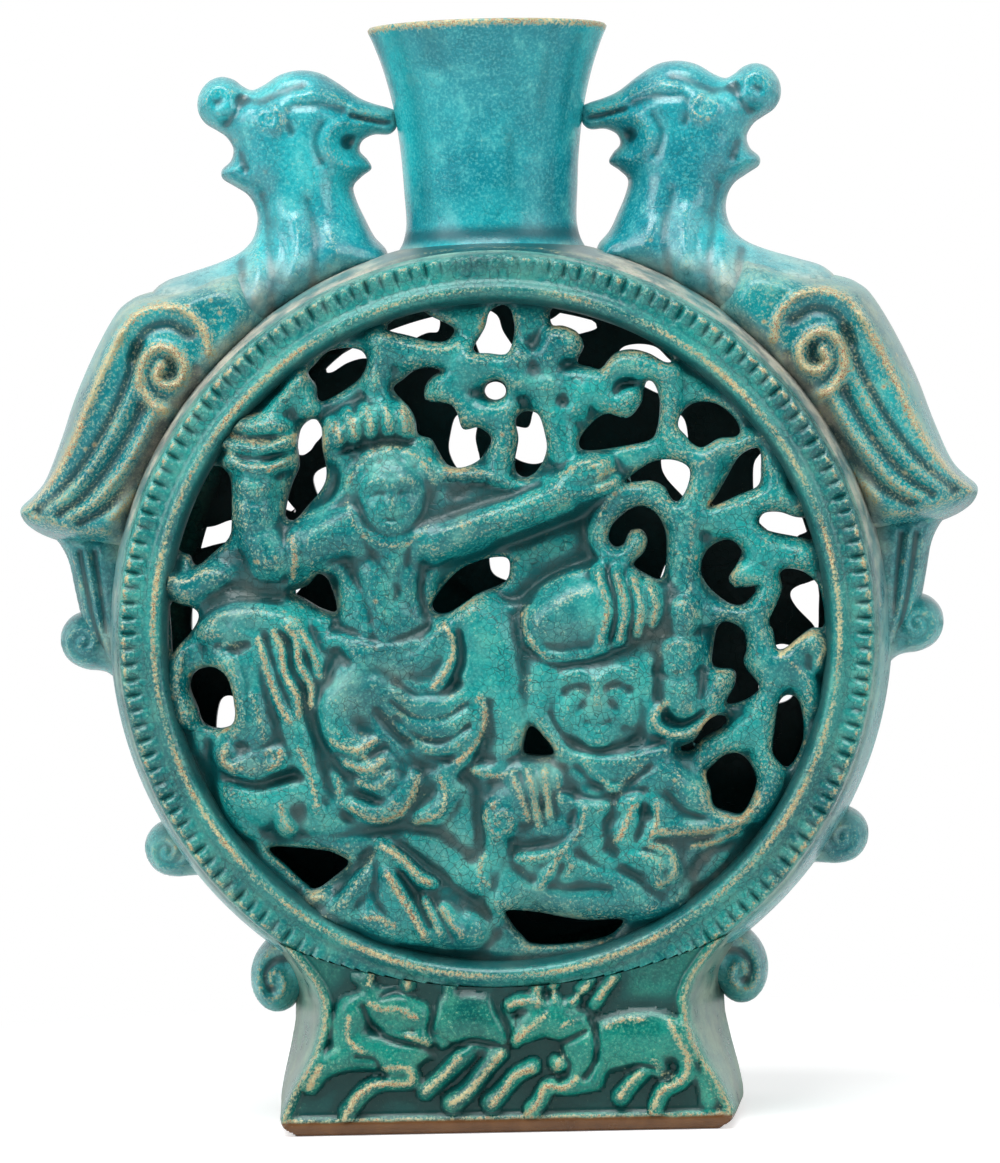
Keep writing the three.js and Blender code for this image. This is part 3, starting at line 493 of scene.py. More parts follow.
ring_radius, ring_height = np.array(RING_LINE, float).T
turn = np.arange(BEADS * BEAD_STEPS) * math.tau / (BEADS * BEAD_STEPS)
R, T = np.meshgrid(ring_radius, turn, indexing="ij")
H = np.repeat(ring_height[:, None], len(turn), axis=1)
across_bead = (T * BEADS / math.tau) % 1 - 0.5
from_top = np.angle(np.exp(1j * T))
from_bottom = np.abs(T - math.pi)
bead = (0.5 + 0.5 * np.cos(across_bead * math.tau)) ** 0.55
drowned = bell(from_top, 0.03, 0.16, 4)
notched = step_up(R, 104.2, 109.2) * step_up(-R, -112.2, -110.6) * (H > 42)
notched *= step_up(from_bottom, math.radians(12), math.radians(40)) * (1 - 0.35 * drowned)
unevenness = 1 + 0.2 * np.sin(T * 37.3) + 0.16 * np.sin(T * 71.9 + 1.3)
H = H - NOTCH * (1 - bead) * notched * unevenness
lift = SADDLE_MIDDLE - DRUM_MIDDLE
down = np.cos(T - math.pi)
foot_lap = np.sqrt((lift * down) ** 2 + SADDLE_RADIUS**2 - lift**2) - lift * down
H = np.where((R > foot_lap) & (from_bottom < 0.8), np.minimum(H, 42.3), H)
ring_points = np.stack([R * np.sin(T), -H, DRUM_MIDDLE + R * np.cos(T)], -1).reshape(-1, 3)
index = np.arange(R.size).reshape(R.shape)
after, beside = np.roll(index, -1, axis=0), np.roll(index, -1, axis=1)
both_on = np.roll(after, -1, axis=1)
ring_quads = np.stack([index, beside, both_on, after], -1).reshape(-1, 4)
front = H > RING_BACK
worn_round = 0.8 + 0.14 * np.sin(T * 9.3 + 0.6) + 0.1 * np.sin(T * 23.1 + 2.0)
ring_top = bell(from_top, 0, 0.5, 4)
ring_thin = 1.05 * worn_round * bell(R, CREST, 1.1) * front
ring_thin += 0.95 * worn_round[:, ::-1] * bell(R, BEAD_TIPS, 0.8) * (0.3 + 0.7 * bead) * front
ring_thin += bead * 0.2 * bell(R, 108.4, 1.8) * front
ring_thin *= (1 - 0.4 * drowned) * (1 - 0.25 * ring_top)
# dark in the notches and on the inner wall by the panel: pooled glaze and painted shade
ring_pool_shade = 0.62 * (1 - bead) ** 1.1 * notched * step_up(-R, -111.4, -110.2)
ring_pool_shade = np.maximum(ring_pool_shade, 0.7 * step_up(-R, -100.2, -98.6))
ring_pool_shade = np.maximum(ring_pool_shade, (0.12 * drowned + 0.14 * ring_top) * front)
ring_pool_shade = np.maximum(ring_pool_shade, 0.3 * bell(R, VALLEY, 0.9))
ring_haze = 0.04 + 0.3 * step_up(R, 111.2, 112.4)
ring_masks = (ring_thin.ravel(), ring_pool_shade.ravel(), ring_haze.ravel())
ring_glaze = glaze_material("ring_glaze", 0.8, 0.72)
front_ring = pressed_mesh("front_bead_ring_glazed", ring_points, ring_quads)
smoothed(front_ring, 50)
both_sides(front_ring, "front_bead_ring", ring_masks, ring_glaze, "ring_glaze")


# The panels: a pierced disc of clay in each ring, with the rider, horse, groom, rocks and blossoming
# tree sprigged on while soft, and the openings cut out by knife and rounded with a wet finger.
PITCH = 0.6
PANEL_NET = 99.6
PANEL_FACE = 40.3
PANEL_BACK = 33.8
SPRIG_BACK = 35.0
PANEL_REACH = 98.4
RIM_ROLL = 3.2
PIERCINGS = [
    [-30.8, 239, -25.6, 243, -20.7, 244.1, -17, 242, -10.8, 238.7, -11.1, 236.4, -13.5, 234.6, -17.9, 234.9,
     -23.8, 236.6],
    [3.8, 245.1, 6.4, 243.4, 7.4, 238.2, 6.5, 233, 4.6, 230.4, -0.2, 230.8, -5, 231.8, -1.5, 238.4, 0.1,
     243.1],
    [18, 242.5, 19.9, 244, 25.1, 243.7, 31, 242.6, 37.6, 239.5, 45.6, 234.5, 52.2, 229.4, 54, 227.3, 51.7,
     227,
     47, 229.7, 41.8, 231, 37, 229.9, 32.8, 225.5, 30.2, 226, 25.8, 227.5, 27.8, 232.3, 26, 236.4, 22,
      238.4,
     18.6, 238.8],
    [-43.2, 233.4, -38.4, 232.5, -36.6, 229.5, -37.8, 225.8, -40.9, 222.6, -48.8, 218.1, -51.4, 218.4, -52,
     222.4,
     -54.2, 226.2, -51.9, 229.1, -48.4, 232.4],
    [-29, 220.8, -26, 223.7, -22.6, 226.2, -18.1, 227, -14.4, 225.7, -17.4, 224.3, -19.6, 221, -19.1, 217.3,
     -12.4, 216, -10.2, 213.4, -8.5, 208.5, -3.7, 208.8, -0.2, 205.4, -2.4, 201, -5.4, 198.4, -9.9, 197.1,
     -13.6, 198.2, -16.1, 202, -18.2, 205.8, -21.9, 207.3, -22.6, 211.4, -24.3, 215.2],
    [-2, 219.9, -1, 217.8, 1.4, 217, 3.8, 217.9, 4.8, 219.9, 3.8, 222, 1.4, 222.8, -1, 222],
    [11.4, 213.3, 14.1, 212, 15.7, 206.6, 16.1, 201.8, 13.8, 196.5, 9.9, 193.8, 6.9, 195.4, 6.7, 199.4,
     7.8, 205.3,
     7.1, 210.5, 8.8, 212.9],
    [46.4, 221.5, 48.4, 220.6, 49.9, 215.5, 49.1, 208.1, 46.8, 204.1, 38.2, 202.3, 29.3, 201.3, 26, 202.3,
     26.4, 205.7, 31, 210.6, 34.7, 212, 40.3, 210.7, 44.4, 214.9, 45.3, 219],
    [55.2, 208, 56.6, 212, 60.4, 214.7, 66.6, 214.3, 71.7, 210.2, 73.5, 206.1, 72, 204.4, 67.2, 204, 62.3,
     201.5,
     59.3, 202.7, 57.5, 205],
    [76.1, 200.5, 79.1, 200.4, 79.4, 194.9, 78.5, 189.8, 72.7, 187.2, 64.1, 183.7, 66, 187, 69.5, 192.8,
     72.6, 198],
    [38.9, 191.7, 42.9, 194.9, 47.7, 197.6, 53.7, 197.9, 58.2, 195.3, 57.6, 190.1, 54.9, 185.8, 52.8, 186.4,
     50.9, 189.9, 46.9, 191.9, 42.4, 191.8],
    [43.7, 184.5, 48.1, 182.2, 50.6, 177.3, 51, 171.8, 50.4, 166.2, 48.8, 162.8, 45.5, 163.9, 41.1, 167.2,
     44.2, 170.8, 45.4, 174.5, 43.6, 177.5, 40.2, 177.2, 38.3, 173.5, 35.7, 172.7, 33.9, 175, 35.1, 179.2,
     39.3, 182.9],
    [78.6, 178.7, 80, 181.5, 84.5, 181.8, 89.2, 180.2, 93.4, 179.3, 95.4, 175.6, 94.3, 173.4, 89.5, 174.4,
     81.4, 176.3],
    [68.7, 174, 71.8, 172.6, 73.2, 169.9, 71.3, 166.1, 69.2, 162.5, 70.8, 159.8, 74.3, 159.8, 77.7, 159.9,
     75.7, 156.8, 72.7, 154.6, 68.7, 155.4, 63.6, 159.6, 61.1, 164.1, 61.6, 168.6, 64.2, 172.2],
    [84.4, 163.8, 87.4, 165, 92.2, 163.4, 95.8, 159.3, 97.2, 152.2, 96.9, 147.5, 93.3, 147.1, 88.8, 144.1,
     85.4, 141.4, 83, 141.6, 82, 146.6, 80.8, 149.6, 83.1, 154.4, 84.9, 159.2],
    [65.9, 148.7, 69.6, 149.4, 73.3, 146.2, 73.9, 141.4, 73.1, 136.9, 77.4, 130.5, 75.1, 127.3, 70.6, 125.4,
     67.6, 125.9, 70.3, 131.1, 70.1, 135.2, 64.2, 136.6, 64.1, 142],
    [85.8, 127.5, 89, 125.8, 90.4, 118.4, 89.4, 111.7, 85.7, 106.1, 82.8, 107.8, 81, 111.2, 81.9, 118.6,
     83.2, 125.2],
    [67.5, 121.5, 66.4, 118.6, 60.7, 115.4, 56.2, 111.7, 52.9, 112.6, 57.8, 114.7, 61.2, 119.8, 64.2,
     121.9],
    [66.9, 110.2, 71, 110.5, 74.1, 107.8, 76, 103.2, 75.2, 98.7, 71.7, 92.9, 67.3, 93.3, 63.3, 95.3, 62.3,
     100.5,
     61.2, 104.6, 63.5, 107.5],
    [-81.9, 199.4, -79.5, 198, -77.8, 194.1, -77.9, 182.3, -79, 177.8, -83.2, 173.9, -88.8, 169.8, -91,
     172.9,
     -94.4, 175.2, -93, 182.6, -89.5, 191.4, -85.2, 198.1],
    [-53.3, 212.5, -50.6, 210.6, -50.2, 203.1, -49.4, 196.4, -50.8, 192, -55.4, 186.6, -58.8, 182.9, -61.8,
     183.4,
     -61.5, 187.8, -59.7, 193.7, -57.5, 198.9, -57.8, 204.8, -56.7, 210],
    [-52.5, 166.5, -49.6, 164.2, -47.3, 155.6, -51.6, 156.1, -56.8, 159.2, -60.1, 161.3, -55.9, 163.2],
    [3.3, 170.1, 4.3, 166.4, 2.4, 162.7, -5.5, 159.5, -13.4, 154.5, -17.9, 154.4, -18.5, 158, -11.7, 166,
     -3.8, 169.6],
    [-97, 158.6, -93.5, 158.4, -89.5, 156.9, -88.4, 154.6, -90.3, 150.9, -94.9, 145.9, -96.6, 143.6, -97,
     150.1],
    [-85, 139.7, -81.2, 137.9, -79.1, 134, -77.9, 126.5, -79.1, 122.5, -83.6, 121.3, -88, 123.1, -89.6,
     127.6,
     -91.7, 133.9, -89.9, 138.3],
    [9.7, 120.2, 13, 117.5, 16.2, 111.8, 8, 111.9, 7.9, 116.9],
    [-69.1, 85.5, -53.5, 84.4, -48.7, 82.9, -45.6, 80.4, -50.7, 75.8, -55.7, 72.8, -58.9, 74.5, -64, 79.5],
    [1.1, 65.3, 10, 64.6, 18.1, 62.9, 25.5, 61.9, 34.7, 62, 35.1, 60.3, 31.3, 57.1, 24.6, 55.5, 15.6, 54.7,
     8.3, 55.2, 5.7, 57.3, 2.5, 61.1],
]


def run_through(rows, steps=7, closed=False):
    """A smooth run through given rows of numbers."""
    p = np.asarray(rows, float)
    if len(p) < 3 and not closed:
        share = np.linspace(0, 1, steps)[:, None]
        return p[0] + (p[-1] - p[0]) * share
    ends = (p[-1:], p[:2]) if closed else (2 * p[:1] - p[1:2], 2 * p[-1:] - p[-2:-1])
    q = np.vstack([ends[0], p, ends[1]])
    t = np.linspace(0, 1, steps, endpoint=False)[:, None]
    parts = [
        0.5 * (2 * b + (c - a) * t + (2 * a - 5 * b + 4 * c - d) * t**2 + (3 * b - a - 3 * c + d) * t**3)
        for a, b, c, d in zip(q[:-3], q[1:-2], q[2:-1], q[3:])
    ]
    return np.vstack(parts if closed else parts + [p[-1:]])


def curl(x, z, outer, inner, turns, start):
    """A spiral as rows of x and z, from its outer end inwards; turns below 0 run clockwise."""
    t = np.linspace(0, 1, max(8, int(abs(turns) * 22)))
    radius = outer + (inner - outer) * t
    angle = math.radians(start) + t * turns * math.tau
    return np.stack([x + radius * np.cos(angle), z + radius * np.sin(angle)], -1).tolist()


def blurred(values, reach):
    """Values smoothed over a reach counted in net steps."""
    for axis in (0, 1):
        for _ in range(3):
            edge = [(0, 0), (0, 0)]
            edge[axis] = (reach + 1, reach)
            heap = np.cumsum(np.pad(values, edge, mode="edge"), axis=axis)
            high = np.take(heap, range(2 * reach + 1, heap.shape[axis]), axis=axis)
            low = np.take(heap, range(0, heap.shape[axis] - 2 * reach - 1), axis=axis)
            values = (high - low) / (2 * reach + 1)
    return values


class Slab:
    """A slab of soft clay: heights in mm over an even net of points across and up."""

    def __init__(self, left, right, low, high, pitch):
        across = np.arange(left, right + pitch / 2, pitch)
        self.x, self.z = np.meshgrid(across, np.arange(low, high + pitch / 2, pitch))
        self.pitch = pitch
        self.height = np.zeros_like(self.x)
        self.cream = np.zeros_like(self.x)
        self.haze_sheen = np.zeros_like(self.x)
        self.maker = np.zeros(self.x.shape, int)

    def around(self, path, reach):
        low = path[:, :2].min(axis=0) - reach
        high = path[:, :2].max(axis=0) + reach
        corner = np.array([self.x[0, 0], self.z[0, 0]])
        first = np.maximum(np.floor((low - corner) / self.pitch), 0).astype(int)
        last = np.maximum(np.ceil((high - corner) / self.pitch), 0).astype(int) + 1
        return slice(first[1], last[1]), slice(first[0], last[0])

    def shares(self, here, path):
        """How far each point lies from a path, in the path's own widths there."""
        x, z = self.x[here], self.z[here]
        best = np.full(x.shape, 1e6)
        for a, b in zip(path[:-1], path[1:]):
            d = b[:2] - a[:2]
            t = np.clip(((x - a[0]) * d[0] + (z - a[1]) * d[1]) / max(d @ d, 1e-9), 0, 1)
            gap = np.hypot(x - a[0] - t * d[0], z - a[1] - t * d[1])
            best = np.minimum(best, gap / (a[2] + t * (b[2] - a[2])))
        return best

    def lay(self, rows, rise, maker, blend):
        """Lays a roll of clay through points of x, z and half-width, rising that far above the slab."""
        path = run_through(np.reshape(rows, (-1, 3)))
        here = self.around(path, path[:, 2].max() + 1)
        share = self.shares(here, path)
        roll = rise * np.clip(1 - share**2, 0, 1) ** 0.6
        old = self.height[here]
        join = np.clip(1 - np.abs(roll - old) / blend, 0, 1) ** 2 * blend / 4
        join *= np.clip((1 - share) * 4, 0, 1)
        on = share < 1
        self.height[here] = np.where(on, np.maximum(roll, old) + join, old)
        self.maker[here] = np.where(on & (roll > old - 0.3), maker, self.maker[here])

    def draw(self, rows, width, rise, cream):
        """Draws a soft ridge, or a groove where rise is below 0, through points of x and z."""
        points = np.reshape(rows, (-1, 2))
        path = run_through(np.c_[points, np.full(len(points), width)], 5)
        here = self.around(path, width * 2.6)
        share = self.shares(here, path)
        self.height[here] += rise * np.exp(-(share**2) * 1.6)
        self.cream[here] = np.maximum(self.cream[here], cream * np.exp(-(share**2) * 1.2))

    def breathe(self, x, z, reach, amount):
        """Lets a soft round patch of grey haze settle on the slab."""
        gap = np.hypot(self.x - x, self.z - z) / reach
        self.haze_sheen = np.maximum(self.haze_sheen, amount * np.exp(-(gap**2)))


def edge_of(slab, loops, reach):
    """Signed distance to closed outlines, above 0 outside them, and the nearest point on them."""
    gap = np.full(slab.x.shape, reach)
    near = np.stack([slab.x, slab.z], -1)
    for loop in loops:
        here = slab.around(np.c_[loop, np.zeros(len(loop))], reach)
        x, z = slab.x[here], slab.z[here]
        best = np.full(x.shape, 1e6)
        spot = np.zeros(x.shape + (2,))
        inside = np.zeros(x.shape, bool)
        for a, b in zip(loop, np.roll(loop, -1, axis=0)):
            d = b - a
            t = np.clip(((x - a[0]) * d[0] + (z - a[1]) * d[1]) / max(d @ d, 1e-12), 0, 1)
            at = np.stack([a[0] + t * d[0], a[1] + t * d[1]], -1)
            far = np.hypot(x - at[..., 0], z - at[..., 1])
            closer = far < best
            best = np.where(closer, far, best)
            spot[closer] = at[closer]
            crosses = (a[1] > z) != (b[1] > z)
            slope = d[0] / d[1] if abs(d[1]) > 1e-12 else 0.0
            inside ^= crosses & (x < a[0] + (z - a[1]) * slope)
        signed = np.where(inside, -best, best)
        nearer = signed < gap[here]
        gap[here] = np.where(nearer, signed, gap[here])
        part = near[here]
        part[nearer] = spot[nearer]
        near[here] = part
    return gap, near


def slab_piece(name, slab, at, front, back, cells):
    """Makes the closed mesh of the chosen net cells between a front and a back surface."""
    count = slab.x.size
    index = np.arange(count).reshape(slab.x.shape)
    a, b, c, d = index[:-1, :-1], index[:-1, 1:], index[1:, 1:], index[1:, :-1]
    face = np.stack([a[cells], b[cells], c[cells], d[cells]], -1)
    walls = []
    for u, v, move in ((a, b, (-1, 0)), (b, c, (0, 1)), (c, d, (1, 0)), (d, a, (0, -1))):
        wide = np.pad(cells, 1)
        rows = slice(1 + move[0], wide.shape[0] - 1 + move[0])
        columns = slice(1 + move[1], wide.shape[1] - 1 + move[1])
        next_to = wide[rows, columns]
        bare = cells & ~next_to
        walls.append(np.stack([u[bare], u[bare] + count, v[bare] + count, v[bare]], -1))
    quads = np.vstack([face, face[:, ::-1] + count] + walls)
    flat = at.reshape(-1, 2)
    points = np.vstack([
        np.stack([flat[:, 0], -front.ravel(), flat[:, 1]], -1),
        np.stack([flat[:, 0], -back.ravel(), flat[:, 1]], -1),
    ])
    used, quads = np.unique(quads, return_inverse=True)
    piece = pressed_mesh(name, points[used], quads.reshape(-1, 4))
    return piece, used


def cells_of(points):
    """The net cells with at least one of these points at a corner."""
    return points[:-1, :-1] | points[:-1, 1:] | points[1:, :-1] | points[1:, 1:]


RIDER, HORSE, GROOM, ROCKS, TREE = 1, 2, 3, 4, 5
# each roll of clay: its rise, then x, z and half-width of each point it runs through
ROLLS = {
    HORSE: [
        (6.0, -72, 149, 11, -62, 144, 13, -57, 128, 14),
        (5.6, -60, 122, 13, -68, 106, 13, -74, 99, 10),
        (6.0, -54, 138, 8, -53, 122, 10, -50, 106, 10),
        (5.6, -52, 96, 10, -38, 92, 11, -22, 92, 13, -8, 94, 12),
        (5.2, -12, 104, 10, -8, 88, 10, -12, 76, 8),
        (5.6, -60, 112, 12, -46, 104, 11, -34, 98, 8),
        (7.8, -8, 152, 9, 0, 143, 11, 2, 130, 9.5),
        (7.2, -12, 146, 8, -6, 134, 9, -1, 124, 8.5),
        (7.6, 3, 124, 6.4, 4, 116, 5.4, 1, 110, 4.6),
        (8.0, 6, 108.6, 3.4, 0, 106.4, 3.6, -7, 107.6, 3),
        (8.6, -68, 143, 11, -63, 130, 12, -59, 118, 9.6),
        (9.4, -78, 149, 9.4, -76, 138, 10.6, -73.4, 126, 11, -72, 116, 9.4),
        (9.4, -84.6, 150, 4.6, -78, 153.6, 6, -69, 154, 6, -60, 152, 5),
        (10.4, -82, 149, 2.4, -77.6, 150.6, 2.6, -73, 148.6, 2.2),
        (10.4, -78, 141, 3, -76.6, 132, 3.4, -75.4, 123, 3.4),
        (9.8, -80.6, 114, 4.4, -76.6, 111, 5.4, -71, 110.4, 5.6, -66, 113, 4.6),
        (7.6, -78, 103, 5.4, -69, 100.4, 6.4, -60, 102, 5.6),
        (5.8, -97, 165, 4.4, -91, 162.5, 5, -85, 165.5, 5.2, -81, 166, 4.2),
        (4.8, -94, 144, 3, -96, 134, 3.2, -93.5, 125, 4),
        (9.8, -70.4, 149, 1.8, -68.6, 142, 2.1, -66.6, 135, 2.1, -64, 128, 2, -60.6, 122, 1.6),
        (9.6, -66, 151, 1.6, -63.4, 145, 2.3, -62.6, 138, 2.2, -59, 131, 2.2, -58.6, 124, 1.5),
        (9.8, -62, 152.4, 1.6, -58.8, 147, 2.2, -58, 140, 2.2, -55, 134, 2, -55, 127, 1.4),
        (9.4, -58, 151.6, 1.7, -55.8, 147, 1.9, -53.6, 142, 2, -52, 136.6, 1.8, -51, 132, 1.5),
        (10.2, -81.6, 115.4, 1.8, -82, 112.4, 1.8, -79.4, 110, 1.8, -76.6, 111.6, 1.7),
        (10.2, -64, 115.4, 1.8, -63.6, 112.4, 1.8, -66, 110, 1.8, -69, 111.6, 1.7),
        (8.4, -59, 115, 3.2, -56, 107, 3.6, -54, 97.4, 3.6),
        (7.6, -48.4, 107, 3, -47.4, 98, 3.4),
        (7.8, -65, 98, 3, -63.4, 92, 3.6),
    ],
    RIDER: [
        (6.4, -16, 140, 10, -15, 128, 14, -15, 118, 11, -17, 108, 7),
        (6.6, -18, 108, 4.6, -15.6, 101, 4.6, -19, 94, 4),
        (8.2, -31, 168, 10.5, -33, 159, 12.6, -33, 147, 12.6),
        (8.8, -45, 176, 6.6, -32, 178, 8, -19, 174, 6.6),
        (8.8, -47, 147, 4.4, -38, 141.6, 5.6, -29, 139.6, 6, -21, 142, 5.4, -16.6, 149, 4.2),
        (8.0, -31.4, 112.6, 3, -24, 108.4, 3.2, -15, 107.6, 3.2, -8, 111.6, 2.8),
        (8.6, -33, 116, 4, -28.6, 111.4, 4, -25, 110, 3.4),
        (8.8, -36, 122.6, 3, -29, 115.4, 3.2, -18, 113.4, 3.3, -8.5, 117.6, 3, -4.8, 126, 2.6),
        (9.0, -33, 127.6, 2.6, -27, 121, 2.8, -18, 119, 2.9, -10.6, 122.4, 2.7, -8.4, 129, 2.3),
        (9.2, -30.4, 131, 2.2, -24.8, 126, 2.5, -18, 124.4, 2.6, -12.6, 127.4, 2.3),
        (9.4, -27, 134, 2.2, -20.4, 130, 2.5, -15.8, 133.6, 2.5, -12.8, 141, 2.5, -13.6, 150, 2.3),
        (9.2, -36, 146, 8, -42, 136, 9, -47, 128, 8.6),
        (10.4, -49, 127, 6.4, -43, 132.6, 7, -36, 134, 5.4),
        (9.4, -49, 121, 7, -42.6, 112.6, 6.8, -37, 106, 6),
        (9.8, -44, 98.4, 3.6, -36.6, 96.2, 4.2, -29.6, 98.6, 4.2, -25.8, 105.4, 3.2),
        (9.0, -23.8, 129.1, 10, -16.1, 122, 11, -10.4, 117, 7.6),
        (10.2, -31.6, 131, 8, -43.4, 128.5, 10.4, -47.4, 123.7, 8.2),
        (10.2, -46.5, 119.8, 7.8, -38.4, 110.8, 8.8, -32.4, 102.8, 7, -31.4, 97.9, 4.8),
        (9.6, -13.6, 103.4, 4.6, -18.7, 96.4, 5, -23.6, 94.4, 3),
        (9.6, -47.6, 117, 2, -41.6, 115, 2.2, -35.6, 117.6, 1.9),
        (9.6, -43.6, 110.4, 1.9, -38, 109, 2.1, -32.6, 112, 1.8),
        (9.0, -18, 175.6, 7.6, -4, 180.6, 6.8, 8, 184.2, 6.4, 21, 189, 6.2),
        (8.6, 20, 189.4, 5.6, 28, 193.4, 5, 33, 196.6, 3),
        (8.2, 24, 195.6, 2.6, 29, 198.6, 2.2),
        (8.0, 27, 189, 3.4, 33, 190.4, 2.8, 36.4, 192, 2.2),
        (5.6, -14, 195.4, 2.6, -4, 194.8, 2.6, 4.5, 192.2, 2),
        (9.2, -43, 181, 7.2, -55, 175, 8, -64, 171.6, 8),
        (9.6, -66.6, 172, 8.2, -70.5, 184, 7.6, -69.6, 196, 7.6),
        (9.6, -78, 200.6, 2.2, -70, 197.6, 2.6, -60.6, 200, 2.2),
        (9.8, -78.6, 206, 2.4, -69.6, 203.4, 2.8, -59.4, 205.6, 2.4),
        (9.2, -75, 211, 3, -68.6, 210.6, 4, -61.6, 210.6, 3),
        (5.8, -66, 213, 3.6, -60.5, 219, 3.2, -55.5, 225, 2.6),
        (10.2, -30.5, 192, 14, -30, 186, 12.8),
        (7.0, -48, 206, 5, -37, 210.5, 6, -25.5, 211, 5.6),
        (8.4, -47.2, 211, 1.7, -45, 204.6, 1.8),
        (8.8, -42.2, 213.6, 1.8, -40, 206, 1.9),
        (9.0, -37, 215.4, 1.8, -34.8, 207.4, 1.9),
        (9.0, -31.6, 216, 1.8, -29.8, 208, 1.9),
        (8.8, -26, 215.4, 1.8, -24.4, 207.6, 1.9),
    ],
    GROOM: [
        (6.2, 8, 74, 6, 24, 70.5, 7.4, 42, 70, 7),
        (7.4, 14, 92, 10, 30, 92, 13, 46, 94, 11),
        (6.6, 12, 80, 8, 28, 79, 9, 46, 78, 9),
        (6.0, 3, 86, 8, 5, 77, 8, 0, 69, 6),
        (8.2, 14, 137, 7, 13, 128, 7.6, 17, 119, 7.4),
        (7.6, 46, 139, 5, 46, 130, 5, 45, 120, 5),
        (4.2, 44, 66, 5, 52, 68, 4.5),
        (6.6, 24, 84, 12, 40, 88, 12, 54, 92, 9),
        (7.6, 27, 104, 12, 36, 102, 12, 44, 103, 9),
        (9.2, 48, 107, 5.6, 54, 100.6, 7, 62, 95.4, 6, 71, 92.4, 3.4),
        (8.8, 47, 90.4, 2.2, 55, 89.4, 2.4, 64, 89.8, 2.2, 72, 91.6, 1.8),
        (7.4, 50, 85.6, 1.6, 60, 85, 1.7, 71, 88.4, 1.4),
        (8.6, 13, 114.6, 3, 24, 110.6, 3.4, 36, 109.4, 3.4, 50, 112.6, 3),
        (8.8, 18, 98, 2.4, 30, 95.4, 2.6, 43, 98.4, 2.4),
        (7.8, 10, 118, 5, 16, 116, 4.6),
        (8.8, 40.6, 97, 2.2, 39, 91, 2.4, 35.4, 85.6, 2),
        (8.6, 46.6, 97, 2, 46.8, 92, 2.2, 44.6, 87, 1.9),
        (8.4, 33.6, 94, 2.2, 32.4, 88.6, 2.4, 28.6, 84, 2),
        (8.4, 26.4, 92.6, 2.2, 25.6, 88, 2.2),
        (8.0, 21, 82.4, 2.8, 29, 77.6, 3, 40, 74, 2.8),
        (8.6, 36, 85.2, 2.4, 43.4, 85.2, 2.6, 49, 81.6, 2.6, 51, 75.4, 2.4),
        (9.0, 35, 80.6, 2.4, 41.6, 80.8, 2.5, 45.8, 78, 2.4, 46.6, 73.6, 2.2),
        (7.2, -3, 85, 5.4, -4.8, 78.6, 4.8, -5.6, 73.6, 4),
        (9.8, 15, 104.6, 6.6, 7, 101.6, 8, 2, 95.6, 8.4, 0, 89, 7),
        (10.0, 3.4, 106.6, 1.8, 5.6, 100, 2, 7.6, 93.6, 1.8),
        (10.0, 8.4, 108, 1.8, 9.8, 100.6, 2, 11, 92.6, 1.8),
        (9.8, 13.4, 108, 1.8, 14, 101, 2, 14.6, 94, 1.7),
        (8.8, 18.6, 84, 1.7, 23.4, 88.6, 1.7, 25.4, 96, 1.5),
        (8.8, 18.6, 84, 1.7, 12, 81.8, 1.7, 5, 81.4, 1.6),
        (8.8, 18.4, 83.6, 1.9, 15, 78.4, 2, 11, 72.6, 1.7),
        (8.6, 18.8, 83.6, 1.7, 20.8, 79.6, 1.7, 19.4, 75.6, 1.5),
        (8.0, 20, 133, 9.6, 29, 132, 10.4, 39, 133, 9.6),
        (8.6, 29.4, 128, 14.6, 29.4, 123.6, 12.6),
        (9.0, 20.6, 125.4, 5.6, 21.6, 123, 5.2),
        (9.0, 38.4, 125.4, 5.6, 37.6, 123, 5.2),
        (9.0, 28, 115.6, 3.6, 31, 115.6, 3.6),
        (9.4, 29.6, 133, 2, 29.6, 127.6, 2.8),
        (9.4, 54, 142, 7.6, 54, 134, 7, 55, 126, 6.4),
        (9.8, 47.4, 125, 2, 47.6, 119.6, 2.2, 52, 117, 2.4, 58, 118, 2.4, 63, 121.6, 2),
        (7.2, 66, 133, 4.2, 63, 126, 4.2),
        (8.6, 55.5, 153.4, 5.8, 55.5, 149, 5.2),
        (10.4, 15, 150.5, 8.6, 24, 152.4, 12.6, 35, 154.8, 11.6, 44, 155, 8),
        (9.6, 9.8, 146, 2, 16, 141.2, 2.4, 27, 141.2, 2.5, 38, 145.4, 2.2),
        (11.2, 30.6, 166, 2, 33.2, 155, 2.3, 31, 143.6, 2),
        (11.4, 36, 165.4, 2, 38.4, 155, 2.4, 36.6, 144.8, 2),
        (11.2, 41, 164.4, 2, 43.2, 155, 2.4, 41.8, 146.6, 2),
        (10.8, 45.6, 162, 1.9, 47.6, 155.4, 2.2, 46.4, 149.4, 1.8),
    ],
    ROCKS: [
        (5.6, -52, 65, 5, -32, 64, 9, -10, 61, 6.5),
        (7.0, -34, 84, 4.5, -34, 75, 9, -34, 65, 11),
        (9.0, -35.6, 86.4, 3, -30, 82, 3.2, -25, 76.6, 3, -20.6, 74.4, 2.4),
        (9.0, -33.8, 78, 2.4, -30, 71.6, 2.8, -26, 64.6, 2.8, -22.6, 58.6, 2.2),
        (8.0, -23, 70, 2.2, -20.4, 64, 2.3, -18.2, 59, 2),
        (7.6, -17.6, 67.6, 2, -14.6, 62.6, 2.2, -12, 58.6, 1.9),
        (7.6, -40.6, 77, 3, -47, 69, 3),
        (6.8, -40, 65.4, 2.2, -35.6, 64.6, 2.4, -31.6, 61.6, 2),
        (5.0, -56, 70, 3.6, -52, 70, 3.8),
    ],
    TREE: [
        (3.8, 54.5, 150, 5, 56, 165, 5, 57, 178, 5.2, 61, 190, 5, 64, 198, 4.6),
        (3.6, 64, 197, 4.4, 55, 201, 4.4, 52.5, 212, 4.2, 52, 222, 4.6, 46, 226.5, 5),
